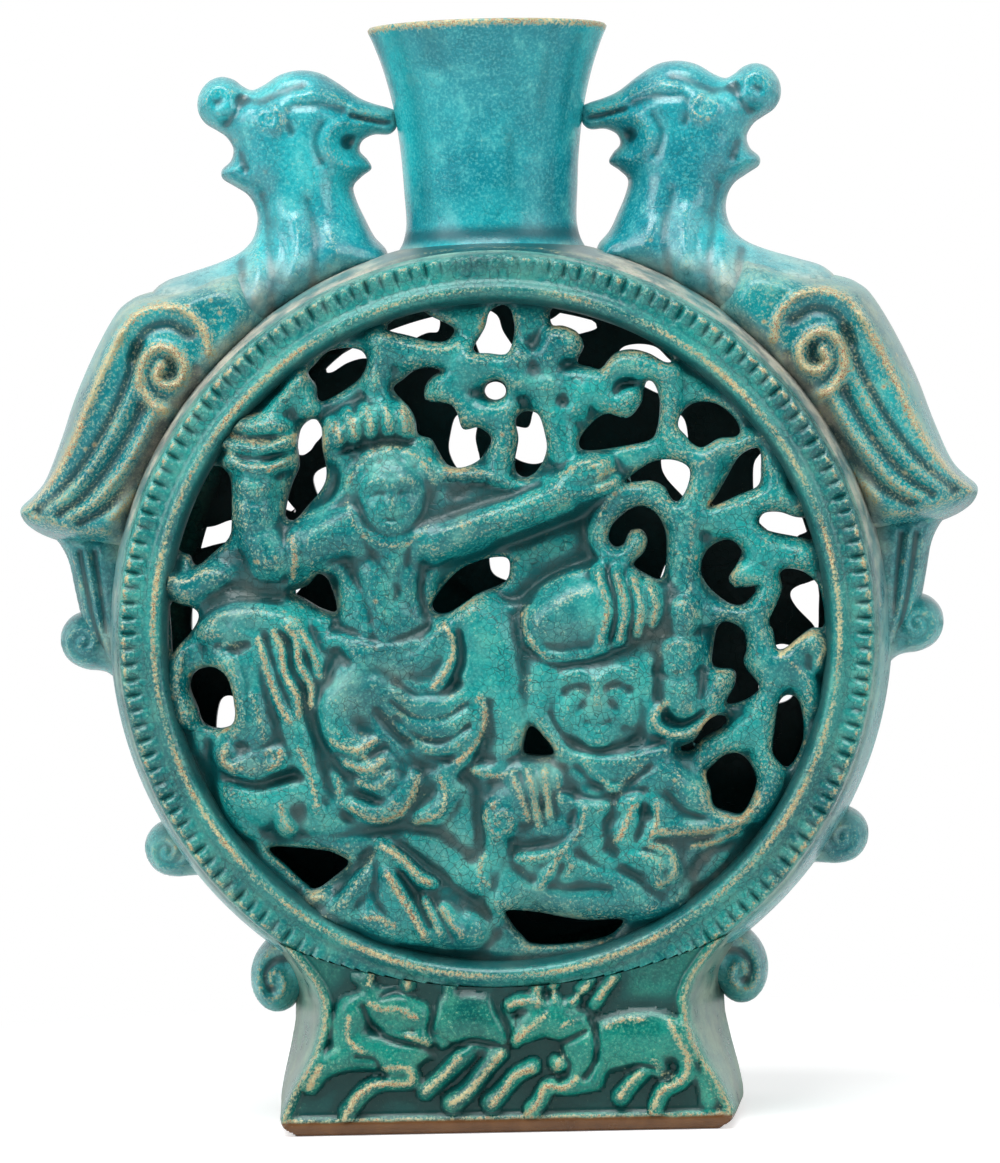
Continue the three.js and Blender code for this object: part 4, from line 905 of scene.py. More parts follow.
        (4.6, 52, 224, 4.6, 44, 226.5, 5, 36, 224.5, 4.8, 33, 219, 5, 36.5, 215.5, 5, 41, 217, 3.6),
        (3.8, 33, 219, 5, 26, 221, 5.6, 16, 221.5, 6.4, 6, 225.5, 6.4, -6, 227, 6.4),
        (3.8, 16, 221, 6, 19, 210, 5.6, 22, 200, 5.2),
        (5.6, 20, 233.5, 5.4, 22.5, 233, 5.4),
        (5.4, 7, 229.6, 4.6, 9, 228.6, 4.6),
        (5.4, 16.6, 229.4, 4.2, 17.6, 228.4, 4.2),
        (5.4, 6, 221.6, 4.2, 8, 222, 4.2),
        (5.4, 16, 220.4, 4.4, 18, 221, 4.4),
        (5.0, -6, 229, 4.6, -4, 228.6, 4.6),
        (5.0, 26, 218, 4.4, 25, 214, 4),
        (3.6, -5, 228, 6, -12, 231, 5, -24, 231, 5, -33, 236, 4),
        (3.6, -6, 226, 5.6, -12, 221.5, 5.4, -8, 214, 5, 1, 212, 4.6),
        (3.4, 4, 214, 5, 3, 204, 4.6, 2, 197, 4),
        (3.4, -33, 216, 4, -34, 224, 4, -31, 233, 4),
        (3.4, -55, 216, 4.4, -58, 223, 4.6, -60, 228, 4),
        (3.8, 57, 180, 5, 52, 183.5, 4.6, 44, 188, 4.6, 36.5, 186.5, 4.6, 32, 178, 4.4, 34, 169, 4),
        (4.0, 34, 168.5, 4, 39, 169.5, 4, 41.8, 173.6, 3.6),
        (3.6, 62, 182, 4.8, 72, 183, 4.4, 82, 185.5, 4, 90, 184.5, 4),
        (3.4, 62, 181, 4.8, 72, 178, 4.6, 79, 172, 5, 84, 169, 4.8, 94, 168, 4),
        (3.8, 79, 172, 5, 78.5, 165, 5, 74.5, 163.5, 4, 72, 164.5, 3),
        (3.6, 80, 167, 5, 79.5, 158, 4.6, 78, 148, 4.6, 79, 138, 5, 82, 132, 5),
        (3.4, 58, 157, 4.5, 61, 152.5, 4.4, 68, 152, 3.4, 76, 152, 4),
        (4.2, 80, 137, 5, 86, 138, 4.6, 92, 142.5, 4.4, 95.5, 141, 3.6, 95, 136.5, 3),
        (3.6, 84, 137, 4.6, 91, 131, 4.2, 93.5, 124, 3.6),
        (3.4, 80, 132, 5, 77, 121, 4.6, 70, 115, 4.6, 60, 110, 4.4),
        (3.4, 78, 122, 4.6, 78.5, 112, 4.2, 80, 101, 4.2, 76, 94, 4.4),
        (3.4, 60, 202, 4, 73, 202, 4.4, 83, 205, 4),
        (3.2, 82, 203, 4, 84, 193, 4.4, 83, 186, 4),
    ],
}
# each line drawn in the clay: its width, rise and share of cream, then x and z of each point
FOLDS = [
    # the horse's mane, eye, cheek, nostrils, legs, tail and hoof
    (1.2, 0.7, 0.95, -70, 148, -68.6, 142, -66.6, 135, -64, 128, -61.4, 123.4),
    (1.2, 0.7, 0.95, -65.4, 150, -63.4, 145, -62.6, 138, -59, 131, -58.6, 125),
    (1.2, 0.7, 0.9, -61.4, 151.4, -58.8, 147, -58, 140, -55, 134, -55, 128),
    (1.2, 0.7, 0.8, -57.4, 150.6, -55.8, 147, -53.6, 142, -52, 136.6),
    (1.3, -1.2, 0, -68, 148, -66.4, 142.4, -64.2, 136, -61.6, 129, -58.8, 123.4),
    (1.3, -1.2, 0, -63.8, 150, -61, 145.4, -60.4, 138.6, -57, 132.4, -56.8, 126.6),
    (1.3, -1.1, 0, -60, 150, -57.8, 146, -55.6, 140.6, -53.8, 134.6),
    (1.9, -2.2, 0, -82, 146.6, -78.4, 145.2, -74, 146.6),
    (1.2, 1.0, 0.5, -80.6, 146.2, -78.2, 146.6, -75.8, 146),
    (1.8, -1.1, 0, -69, 140, -67.6, 130, -65, 121, -63, 114),
    (1.4, 0.8, 0.6, -72, 131, -70, 124, -69, 118),
    (1.4, 0.8, 0.6, -83, 136, -81.6, 128, -80.6, 121),
    (1.5, -1.8, 0, -79.8, 113.2, -78.6, 112.8),
    (1.5, -1.8, 0, -66.8, 113.2, -65.6, 112.8),
    (1.2, 0.5, 0.9, -81.4, 114.6, -81, 111.4, -78, 109.8),
    (1.2, 0.5, 0.9, -64.2, 114.6, -64.8, 111.4, -67.6, 109.8),
    (1.3, 0.8, 0.5, -86, 150, -84, 154, -80, 155.5),
    (1.2, 0.8, 0.7, -80.4, 117, -80.6, 112, -78, 108.6),
    (1.2, 0.8, 0.7, -67.4, 114.6, -64.6, 111.6),
    (1.8, -1.8, 0, -80, 106.6, -71, 104.6, -61, 107.8),
    (1.6, -1.3, 0, -77, 117, -72.5, 115.4, -68, 117),
    (1.2, 0.8, 0.8, -58.6, 115, -56, 108, -54.6, 102, -54, 98),
    (1.2, 0.7, 0.7, -47.6, 106, -47, 99),
    (1.4, 0.8, 0.7, -64.8, 99, -63.6, 94, -62, 91),
    (1.1, 0.7, 0.7, -97, 166.5, -91, 165.5, -85.5, 168.6),
    (1.0, 0.7, 0.6, -94, 140, -95, 133, -93.4, 125.5),
    (1.2, 0.7, 0.7, -7.4, 107.6, -1, 105.8, 4.6, 107.4),
    (1.4, -1.2, 0, -6, 111.6, 0, 110.4, 6, 112),
    # the rider's skirt, boots, robe, sleeves, hair, face, cap, arm, hand and sash
    (1.2, 0.9, 0.9, -15, 151, -12.6, 146, -13.4, 140, -18.6, 132.6),
    (1.7, -1.2, 0, -10.6, 148, -10.2, 140, -13, 134),
    (1.2, 0.9, 0.9, -5, 129.4, -3.6, 123, -6.6, 115.6, -12, 110.4),
    (1.3, -1.2, 0, -27, 117.6, -22, 112.6, -14.4, 111.2),
    (1.3, 0.6, 0.35, -29, 129, -24, 124.6, -16, 123.8, -10, 128),
    (1.3, 0.6, 0.3, -33.6, 125, -26.4, 118.6, -16, 117.6, -9, 121.8),
    (1.6, -1.4, 0, -33, 116, -27, 110, -19, 108.6),
    (1.2, 0.7, 0.8, -17.4, 106, -15.6, 101, -18, 95, -25, 92.6),
    (1.3, 0.7, 0.85, -44, 97.6, -37, 93.6, -30, 95, -26, 100, -23.8, 106),
    (1.4, -1.1, 0, -41, 101, -35, 99, -30.6, 103.6),
    (1.3, 0.7, 0.6, -43.6, 116, -39, 112, -36, 107),
    (1.2, 0.5, 0.55, -40, 106, -36, 108, -31.6, 107),
    (1.5, 0.5, 0.45, -50, 121, -45, 118, -39, 118),
    (1.8, -1.4, 0, -44, 171, -38, 158, -36, 148),
    (1.6, -1.2, 0, -38, 176, -31, 165, -25, 156),
    (1.6, -1.1, 0, -24, 176, -27, 166, -30, 158),
    (1.6, -1.2, 0, -20, 172, -22, 160, -19, 150),
    (1.4, -1.2, 0, -45, 150, -33, 146.6, -20, 150),
    (1.3, 0.5, 0.3, -42, 147.4, -33, 143.6, -23, 146),
    (1.2, 0.8, 0.85, -59.4, 178, -58.6, 171.6, -59.6, 166),
    (1.4, -1.1, 0, -62, 179, -61.2, 172, -62, 165),
    (1.4, -1.1, 0, -56.8, 178, -56, 171, -57, 166),
    (1.3, 0.7, 0.7, -77.6, 203, -73, 199.4, -65, 198.6, -59.4, 201),
    (1.5, -1.3, 0, -77.6, 200, -72.6, 196.2, -65, 195.4, -60, 197.6),
    (1.5, -1.2, 0, -78.6, 206.4, -73, 203, -65, 202.2, -58.8, 204.4),
    (1.3, 0.7, 0.8, -78, 209, -72.6, 206.4, -65, 205.8, -59, 207.4),
    (1.3, 0.5, 0.6, -74, 212.6, -69, 214.4, -64, 213.2),
    (1.2, 0.6, 0.5, -65, 214.4, -60.4, 219.6, -55.6, 225.4),
    (1.7, -1.2, 0, -76, 190, -70, 188.4, -63.6, 190),
    (1.7, -1.0, 0, -77, 181, -71, 179, -64, 181),
    (1.7, -0.9, 0, -75, 173, -69.6, 168.6, -62, 166.4),
    (1.5, -0.9, 0, -39.6, 187, -39.2, 193, -35, 198.4, -29.5, 199.8, -24, 198.4, -19.8, 193, -19.4, 187,
     -22.6, 180.6, -29.5, 177.6, -36.4, 180.6, -39.6, 187),
    (1.5, 0.5, 0.6, -42.6, 193, -38, 200.4, -30, 203.6, -22, 200.8, -17, 193.6),
    (1.2, 0.5, 0.55, -42.8, 188, -40.6, 181, -34, 175.6, -26, 175, -19, 180),
    (1.2, -0.9, 0, -34, 203, -33, 199.6),
    (1.2, -0.9, 0, -27, 203.6, -26.6, 200),
    (1.2, -0.9, 0, -39.4, 200, -37, 197),
    (1.2, -0.9, 0, -21, 201, -22.6, 197.8),
    (1.3, 1.3, 0.2, -29.5, 191.6, -29.5, 187.4, -29.5, 186),
    (1.5, -1.1, 0, -35.6, 189.8, -33, 190.6, -31.6, 190),
    (1.5, -1.1, 0, -27.4, 190, -26, 190.6, -23.4, 189.8),
    (1.1, 0.8, 0.25, -36, 193.2, -33, 194.2, -30.8, 193),
    (1.1, 0.8, 0.25, -28.2, 193, -26, 194.2, -23, 193.2),
    (1.0, -1.0, 0, -32.6, 182.8, -29.5, 182.2, -26.4, 182.8),
    (1.2, 0.7, 0.2, -31.4, 180.6, -29.5, 180.2, -27.6, 180.6),
    (2.6, 0.6, 0.15, -35.4, 185.4, -34.6, 184),
    (2.6, 0.6, 0.15, -23.6, 185.4, -24.4, 184),
    (1.4, -1.7, 0, -47.8, 203.4, -45, 211),
    (1.4, -1.7, 0, -43.4, 204, -40.6, 214),
    (1.4, -1.7, 0, -38.6, 204.6, -36, 216),
    (1.4, -1.7, 0, -33.6, 205.6, -31.4, 216.4),
    (1.3, -1.4, 0, -28.8, 206.4, -27.2, 215.6),
    (1.2, 0.5, 0.8, -46, 211, -44.4, 206),
    (1.2, 0.5, 0.8, -41.4, 213, -40, 207),
    (1.2, 0.5, 0.8, -36.4, 215, -35, 209),
    (1.2, 0.5, 0.8, -31, 215.4, -29.6, 209),
    (1.2, 0.5, 0.8, -26, 214.6, -24.4, 209),
    (1.8, -1.4, 0, -46, 203, -36, 205.4, -24, 205.6),
    (1.6, -1.0, 0, -12, 184, 2, 187, 14, 191),
    (1.4, 0.6, 0.35, -14, 178, 0, 184.6, 16, 190),
    (1.1, 0.7, 0.7, 20, 194, 26, 197.4, 31, 199),
    (1.1, 0.7, 0.7, 29, 196.6, 34, 198.4),
    (1.1, 0.7, 0.8, 31, 193, 35.6, 195.6),
    (1.1, 0.7, 0.8, 31.6, 189.6, 36.4, 192),
    (1.4, -1.4, 0, 22, 191, 28, 191.4, 34, 193.4),
    (1.0, 0.5, 0.7, -14, 196.4, -6, 196.2, 0, 194.8),
    (1.0, -0.8, 0, -10.6, 197, -10.2, 193),
    (1.0, -0.8, 0, -6.4, 197, -6, 192.6),
    (1.0, -0.8, 0, -2.2, 196.4, -1.8, 192),
    # the groom's turban, face, ears and collar
    (1.4, -1.3, 0, 33.4, 165.6, 35.8, 155, 33.8, 144),
    (1.4, -1.3, 0, 38.6, 164.6, 40.8, 155, 39.2, 145.6),
    (1.3, -1.2, 0, 43.4, 163, 45.4, 155, 44.2, 148),
    (1.3, 0.5, 0.75, 30.6, 165, 33.2, 155, 31, 145),
    (1.3, 0.5, 0.8, 36, 164.4, 38.4, 155, 36.6, 146),
    (1.3, 0.5, 0.8, 41, 163.4, 43.2, 155, 41.8, 147.6),
    (1.2, 0.5, 0.8, 45.6, 161, 47.6, 155.4, 46.4, 150),
    (2.2, 0.3, 0.5, 18, 156, 24, 159, 28, 160),
    (1.2, 0.6, 0.7, 9.4, 155, 8.6, 150, 11, 144.4, 15, 140.6),
    (1.2, 0.4, 0.4, 14, 160.6, 20, 164, 28, 166),
    (1.7, -1.1, 0, 9, 142.6, 18, 138.4, 30, 139.8, 45, 146),
    (1.6, 1.5, 0.25, 29.6, 133.4, 29.6, 128.6, 29.6, 127),
    (1.9, -1.5, 0, 20.6, 130.8, 24, 131.8, 27, 130.8),
    (1.9, -1.5, 0, 32.2, 130.8, 35.2, 131.8, 38.6, 130.8),
    (1.0, 0.7, 0.3, 21.4, 130.4, 24, 130.9, 26.6, 130.4),
    (1.0, 0.7, 0.3, 32.6, 130.4, 35.2, 130.9, 38, 130.4),
    (1.4, 1.1, 0.35, 19.4, 134.4, 24, 136.4, 28, 134.8),
    (1.4, 1.1, 0.35, 31.4, 134.8, 35.6, 136.4, 40.2, 134.4),
    (1.2, -0.9, 0, 26, 121.6, 29.6, 120.8, 33.4, 121.6),
    (1.3, 0.5, 0.25, 27.4, 119, 29.6, 118.4, 32, 119),
    (1.5, -1.0, 0, 25.4, 127, 22.6, 123.6, 21.6, 120),
    (1.5, -1.0, 0, 33.8, 127, 36.6, 123.6, 37.6, 120),
    (1.8, -0.7, 0, 15.6, 135, 15.4, 128, 18, 119, 22, 114.6),
    (1.8, -0.8, 0, 47.6, 137, 47, 129, 43.6, 120, 39, 114.6),
    # creases and folds over the rider's leg and skirt
    (2.0, -1.2, 0, -57, 134, -56.4, 125, -51, 115.6, -46, 107),
    (2.0, -1.6, 0, -35.6, 126.4, -29, 117.5, -22.3, 107.5),
    (1.4, -1.5, 0, -29.6, 134, -24, 131, -17, 131, -11, 133.6),
    (1.4, -1.5, 0, -31, 129, -24.6, 124.6, -16, 124, -9, 127.6),
    (1.4, -1.5, 0, -30, 124, -24, 118.4, -15.6, 117.2, -8.6, 121),
    (1.2, 0.7, 0.4, -30.4, 131.8, -24.4, 128, -16.6, 127.6, -10, 130.6),
    (1.2, 0.7, 0.4, -30.6, 126.6, -24.4, 121.6, -16, 120.8, -9, 124.4),
    (1.2, 0.7, 0.4, -28.4, 120.6, -23, 115.6, -15.4, 114.2, -9.6, 117.6),
    (1.3, 1.1, 0.85, -48.6, 117, -42, 114.6, -36, 117.4),
    (1.3, 1.1, 0.85, -45, 110.8, -39, 108.6, -33.6, 111.6),
    (1.2, 1.0, 0.8, -41.4, 105.2, -36.4, 103.4, -32, 105.8),
    (1.3, -1.1, 0, -47, 114, -40.6, 111.6, -35, 114.4),
    (1.3, -1.1, 0, -43.4, 107.8, -37.6, 106, -33, 108.6),
    # the groom's staff hand, sleeves, sash, belt and legs
    (1.5, 0.6, 0.6, 40, 138.6, 41.4, 136.4),
    (1.5, 0.6, 0.6, 9.6, 134, 10, 131),
    (1.6, -1.3, 0, 15, 124, 20, 116.6, 30, 112.6, 42, 116),
    (1.2, 0.8, 0.8, 50, 126.6, 46, 122.6, 48, 118.4, 54, 117, 60, 119, 63, 121.6),
    (1.4, -1.3, 0, 49.6, 121.6, 55, 120, 61, 123),
    (1.3, -1.0, 0, 47, 136, 53, 133.6, 61, 136),
    (1.1, 0.5, 0.4, 48, 141, 54, 144.6, 60, 142.6),
    (1.2, -1.1, 0, 50, 147, 55, 146, 61, 147.4),
    (1.2, 0.6, 0.6, 53, 156, 57, 155.6, 59.6, 152),
    (1.3, 0.8, 0.75, 4, 106, 6.6, 99, 8.6, 93),
    (1.3, 0.8, 0.75, 8.6, 107.4, 10.4, 99, 11.4, 91),
    (1.3, 0.8, 0.75, 13.4, 107, 14.2, 100, 14.6, 94),
    (1.2, 0.7, 0.6, 17.6, 105, 17.6, 99),
    (1.3, -1.1, 0, 6.4, 107, 8.4, 99, 10, 92),
    (1.3, -1.1, 0, 11, 108, 12.4, 100, 13, 92),
    (1.3, -1.1, 0, 15.6, 106.6, 16, 99, 16.4, 94),
    (1.2, 0.6, 0.7, -5, 82, -6.4, 77, -4, 73.6),
    (1.2, 0.9, 0.65, 18.6, 84, 23.6, 89, 25.4, 96),
    (1.2, 0.9, 0.65, 18.6, 84, 12, 81.8, 5.4, 81.4),
    (1.2, 0.9, 0.75, 18.4, 83.6, 15, 78.4, 11.4, 72.8),
    (1.2, 0.7, 0.6, 18.8, 83.6, 20.6, 79.6, 19.6, 76),
    (1.5, -1.3, 0, 21, 92, 22.6, 96.6, 22, 101),
    (1.5, -1.2, 0, 14, 86, 8, 85, 3, 86.6),
    (1.3, 0.9, 0.9, 39.4, 96, 37, 90.6, 34.6, 86.4),
    (1.2, 0.8, 0.8, 46.4, 97, 46.6, 92, 44.4, 87),
    (1.5, -1.3, 0, 42.6, 100, 42.4, 93, 40, 86),
    (1.6, -1.3, 0, 34, 98, 31.4, 91, 30.8, 84),
    (1.4, -1.2, 0, 50, 100, 54, 95, 61, 92.6),
    (1.2, -1.2, 0, 18, 101.6, 30, 98.6, 43, 101.6),
    (1.5, -1.2, 0, 23, 109, 27.4, 104, 32, 100),
    (1.5, -1.2, 0, 45, 108, 40, 104, 34.4, 100),
    (1.4, 0.7, 0.55, 25.6, 109, 29.6, 105, 33, 101.4),
    (1.4, 0.7, 0.55, 42.6, 108.4, 38.4, 105, 35, 101.4),
    (1.2, 0.4, 0.3, 19, 99.4, 30, 96.4, 41, 99),
    (1.3, 0.8, 0.85, 46, 88.6, 54, 88, 63, 88.6, 72.6, 91.4),
    (1.6, -1.6, 0, 45, 85.8, 55, 85, 64, 86.2, 72, 88.6),
    (1.0, 0.7, 0.85, 57, 83.8, 64, 85, 70.6, 88.4),
    (1.2, 0.7, 0.75, 44, 84.6, 49, 83, 51.6, 79, 50, 74.6, 46, 72.4),
    (1.2, 0.7, 0.6, 42, 82, 45.6, 81, 47.4, 78.6, 46, 75.6),
    (1.3, -1.0, 0, 43, 83.6, 47.4, 82, 49.6, 79, 48, 75),
    (1.6, 0.7, 0.2, 20, 80.4, 28, 75.4, 38.6, 71.6),
    (1.7, -1.5, 0, 23, 82, 31, 77.6, 40.6, 74.8),
    (1.4, 0.6, 0.5, 52.4, 108, 53, 104, 52.6, 101.6),
    # soft creases where one figure lies against another
    (2.4, -1.5, 0, -47.4, 155.9, -47.4, 143, -51.2, 135.8, -54.4, 126.6, -52.8, 115.6, -49.8, 104.5, -44.9,
     94.3),
    (2.2, -1.3, 0, -11.9, 149.6, -11, 141.3, -13.8, 133),
    (2.2, -1.4, 0, -2.5, 127.3, -3.5, 116.3, -10.2, 106.3, -15.8, 100.9),
    (3.6, -0.9, 0, 8.6, 157, 7, 149, 7.4, 141, 9.4, 131),
    (2.4, -1.5, 0, -7.4, 105.3, -6.2, 94.3, -5.4, 83.2, -4.1, 73.6),
    (2.6, -1.6, 0, -77.6, 95, -66.7, 89.2, -50.1, 88.9, -32.6, 90.8, -19.8, 90, -8.9, 82.4),
    (2.2, -1.3, 0, -1.9, 105.2, 8.3, 110.8, 18.7, 108),
    (2.2, -1.3, 0, 18.7, 104.7, 26.5, 102.3, 39.4, 104.2),
    (2.2, -1.4, 0, 34.3, 97, 32.6, 86.9, 37, 77.6, 47.8, 67.6),
    (2.2, -1.3, 0, 42.3, 95, 52.8, 87.7, 62, 84.9),
    (2.4, -1.6, 0, -35.8, 86.7, -45.8, 76.8, -52.8, 69.3),
    (2.4, -1.6, 0, -29.6, 85.3, -17.3, 75.8, -5.1, 65.2),
    (2.4, -1.4, 0, -79.3, 163.6, -65, 160.9, -48.7, 164.2),
    (2.4, -1.4, 0, -18.5, 167.7, -4.1, 171.1, 10.8, 176.2, 25.6, 181.4),
    (2.2, -1.2, 0, -14.5, 181.6, 2.7, 186, 14.4, 190.8),
    (2.2, -1.3, 0, -48, 162.3, -47.6, 150.4, -43.8, 140.7),
    (2.2, -1.3, 0, -21.9, 163.6, -20.6, 154.9),
    (2.2, -1.2, 0, -79.9, 152.1, -74.7, 138.2, -74.2, 121.6, -76.2, 114.3),
    (2, -1.2, 0, -66.3, 106.7, -57.1, 106.5, -52.6, 99),
    (2.2, -1.3, 0, 3.2, 86.7, 5.7, 77.4, 15.7, 72.6, 32.2, 72.2),
    (2, -1.1, 0, 47.6, 140.8, 47, 129.8, 49.1, 122.4),
    # the rocks
    (1.3, 1.0, 0.95, -35, 86, -29, 82, -24.4, 76.8, -21, 74.6),
    (1.5, 1.1, 0.95, -33.6, 77.6, -30, 71.6, -26, 64.6, -23, 59),
    (1.3, 0.8, 0.8, -22.6, 69, -20.6, 64, -18.4, 59.6),
    (1.3, 0.8, 0.8, -18, 67, -15, 62.6, -12.4, 59),
    (1.3, 0.7, 0.85, -40, 65, -36, 64.4, -32, 62),
    (1.6, -1.6, 0, -29, 77.6, -25.4, 71, -21, 62),
    (1.5, -1.4, 0, -37, 80, -37.4, 71, -34, 64.6, -29.4, 58.6),
    (1.4, -1.2, 0, -20.6, 70, -17.4, 63, -15, 58),
    (1.3, 0.5, 0.5, -37, 85, -42, 76, -50, 67),
    (1.2, 0.5, 0.8, -56, 70.6, -52.6, 70.8),
    # the blossom, twigs and bark of the tree
    (1.2, 0.5, 0.55, -5, 229.4, -2, 228),
    (1.2, 0.5, 0.5, 2, 214, 5.6, 213),
    (1.7, -1.2, 0, 12, 227.4, 12.4, 226.6),
    (1.7, -1.2, 0, 23, 227.4, 23.4, 226.6),
    (1.9, -1.5, 0, 21, 216.6, 22.4, 215.6),
    (1.9, -2.0, 0, 41, 221, 38, 220.4, 37, 218.6),
    (1.1, 0.5, 0.6, 45, 229.6, 38, 228.6, 33.4, 224),
    (1.1, 0.6, 0.6, -22, 233.6, -15, 232, -9, 233.6),
    (1.0, 0.4, 0.55, 17, 236.6, 21, 238, 26, 235.4),
    (1.1, 0.5, 0.45, -36, 236, -32, 230, -34, 221),
    (1.0, 0.5, 0.55, 31, 180, 33, 185, 38, 189.6, 46, 190.4),
    (1.0, 0.4, 0.5, 39, 178.4, 43.6, 177.6),
    (1.1, 0.5, 0.55, 60, 196, 70, 201.6, 80, 204.6),
    (1.1, 0.5, 0.5, 58.6, 182, 58, 170, 57, 158),
    (1.1, 0.5, 0.6, 64, 185, 72, 184, 79, 187.6),
    (1.0, 0.5, 0.6, 71, 161.4, 70, 164),
    (1.2, 0.7, 0.8, 84, 139.4, 89, 143.6, 94, 145.6, 96.8, 142, 95, 137),
    (1.3, -1.3, 0, 91, 140, 93.4, 138.4, 93, 135.6),
    (1.1, 0.6, 0.7, 87, 137.6, 91.6, 132, 92.6, 125.6),
    (1.2, 0.6, 0.8, 73, 93, 76, 95.4, 76.6, 98.6),
    (1.0, 0.4, 0.5, 60, 113.6, 59.6, 108, 61, 103),
]
low_edge, high_edge = DRUM_MIDDLE - PANEL_NET, DRUM_MIDDLE + PANEL_NET
picture = Slab(-PANEL_NET, PANEL_NET, low_edge, high_edge, PITCH)
x, z = picture.x, picture.z
from_middle = np.hypot(x, z - DRUM_MIDDLE)
picture.height += 0.35 * (np.sin(x * 0.21 + 1.1) * np.sin(z * 0.17) + np.sin(x * 0.09 - z * 0.13))
for maker, rolls in ROLLS.items():
    for rise, *rows in rolls:
        picture.lay(rows, rise, maker, 3.0)
picture.height = blurred(picture.height, 1)
figures = blurred(((picture.maker > 0) & (picture.maker != TREE)).astype(float), 6)
bed = np.maximum(blurred(picture.height, 6) - 1.2, blurred(picture.height, 14) - 0.9)
merged = np.maximum(picture.height, bed)
merged += 0.5 * np.clip(1 - np.abs(bed - picture.height) / 2, 0, 1) ** 2
picture.height += (merged - picture.height) * step_up(figures, 0.25, 0.55)
picture.draw(curl(0.4, 93, 5.4, 0.8, 1.4, 100), 1.4, 1.4, 0.6)
for width, rise, cream, *rows in FOLDS:
    picture.draw(rows, width * 1.1, rise, cream * 0.95)
lump = np.sin(x * 0.52 + 2.1 * np.sin(z * 0.31)) * np.sin(z * 0.47 + 1.7 * np.sin(x * 0.23))
picture.height += 0.22 * lump
picture.height = picture.height * 0.4 + blurred(picture.height, 1) * 0.6
outlines = [run_through(np.reshape(rim, (-1, 2)), 6, closed=True) for rim in PIERCINGS]
to_rim, at_rim = edge_of(picture, outlines, 6.0)
roll = np.clip(1 - np.clip(to_rim, 0, RIM_ROLL) / RIM_ROLL, 0, 1)
rim_drop = RIM_ROLL + 0.35 * np.clip(picture.height, 0, 12)
picture.height -= rim_drop * (1 - np.sqrt(np.clip(1 - roll**2, 0, 1)))
picture.height -= 1.6 * step_up(from_middle, 93.5, 97.5)
solid = (to_rim > 0) & (from_middle < PANEL_REACH)
spot = np.where((to_rim <= 0)[..., None], at_rim, np.stack([x, z], -1))
far = np.hypot(spot[..., 0], spot[..., 1] - DRUM_MIDDLE)
pull = np.minimum(1, PANEL_REACH / np.maximum(far, 1e-6))
spot = np.stack([spot[..., 0] * pull, DRUM_MIDDLE + (spot[..., 1] - DRUM_MIDDLE) * pull], -1)
three_corners = (picture.maker[:-1, :-1], picture.maker[:-1, 1:], picture.maker[1:, :-1])
cell_maker = np.median(np.stack(three_corners), axis=0).astype(int)
close, wide, broad = (blurred(picture.height, reach) for reach in (2, 5, 12))
# pooled glaze and painted shade in the hollows between the forms and along the edge by the ring
picture_pool_shade = np.clip((wide - picture.height) * 0.85, 0, 0.8)
picture_pool_shade += np.clip((close - picture.height) * 0.6, 0, 0.4)
picture_pool_shade += np.clip((broad - picture.height) * 0.14, 0, 0.3)
picture_pool_shade += 0.75 * step_up(from_middle, 94.5, 98)
picture_pool_shade *= step_up(to_rim, -0.5, 2.2) * 0.8 + 0.2
picture_thin = np.clip((close - wide) * 0.1, 0, 0.14)
picture_thin += np.clip((picture.height - close) * 0.6, 0, 0.36)
picture_thin -= 0.06 * (picture.maker == TREE)
picture_thin = np.maximum(picture_thin, picture.cream) + 0.42 * bell(to_rim, 0.5, 0.7)
for spot_x, spot_z, reach, amount in (
    (-76, 157, 7, 0.55), (-44, 131.5, 7, 0.45), (-12, 186, 9, 0.35), (12, 110, 9, 0.55), (-72, 112, 5, 0.4),
    (-60, 97, 6, 0.35), (47, 147, 6, 0.45), (60, 77, 9, 0.5), (-14, 85, 8, 0.35), (20, 150, 9, 0.25),
    (10, 55, 20, 0.35), (-55, 70, 6, 0.5), (30, 127, 8, 0.25), (-30, 200, 8, 0.25), (12, 128, 6, 0.2),
    (6, 108, 8, 0.4), (-28, 137, 8, 0.3),
):
    picture.breathe(spot_x, spot_z, reach, amount * 0.4)
surface = PANEL_FACE + picture.height
panel_glaze = glaze_material("panel_glaze", 1.0, 0.62)
for maker, word in enumerate(("panel", "rider", "horse", "groom", "rocks", "tree")):
    back = np.minimum(SPRIG_BACK if maker else PANEL_BACK, surface - 0.5)
    cells = cells_of(solid) & (cell_maker == maker)
    piece, used = slab_piece("front_" + word + "_glazed", picture, spot, surface, back, cells)
    on_front = used < x.size
    # the back faces, inside the drum, are painted in full shade
    masks = [
        np.where(on_front, values.ravel()[used % x.size], behind)
        for values, behind in ((picture_thin, 0), (picture_pool_shade, 1), (picture.haze_sheen, 0))
    ]
    smoothed(piece, 60)
    both_sides(piece, "front_" + word, masks, panel_glaze, "panel_glaze")


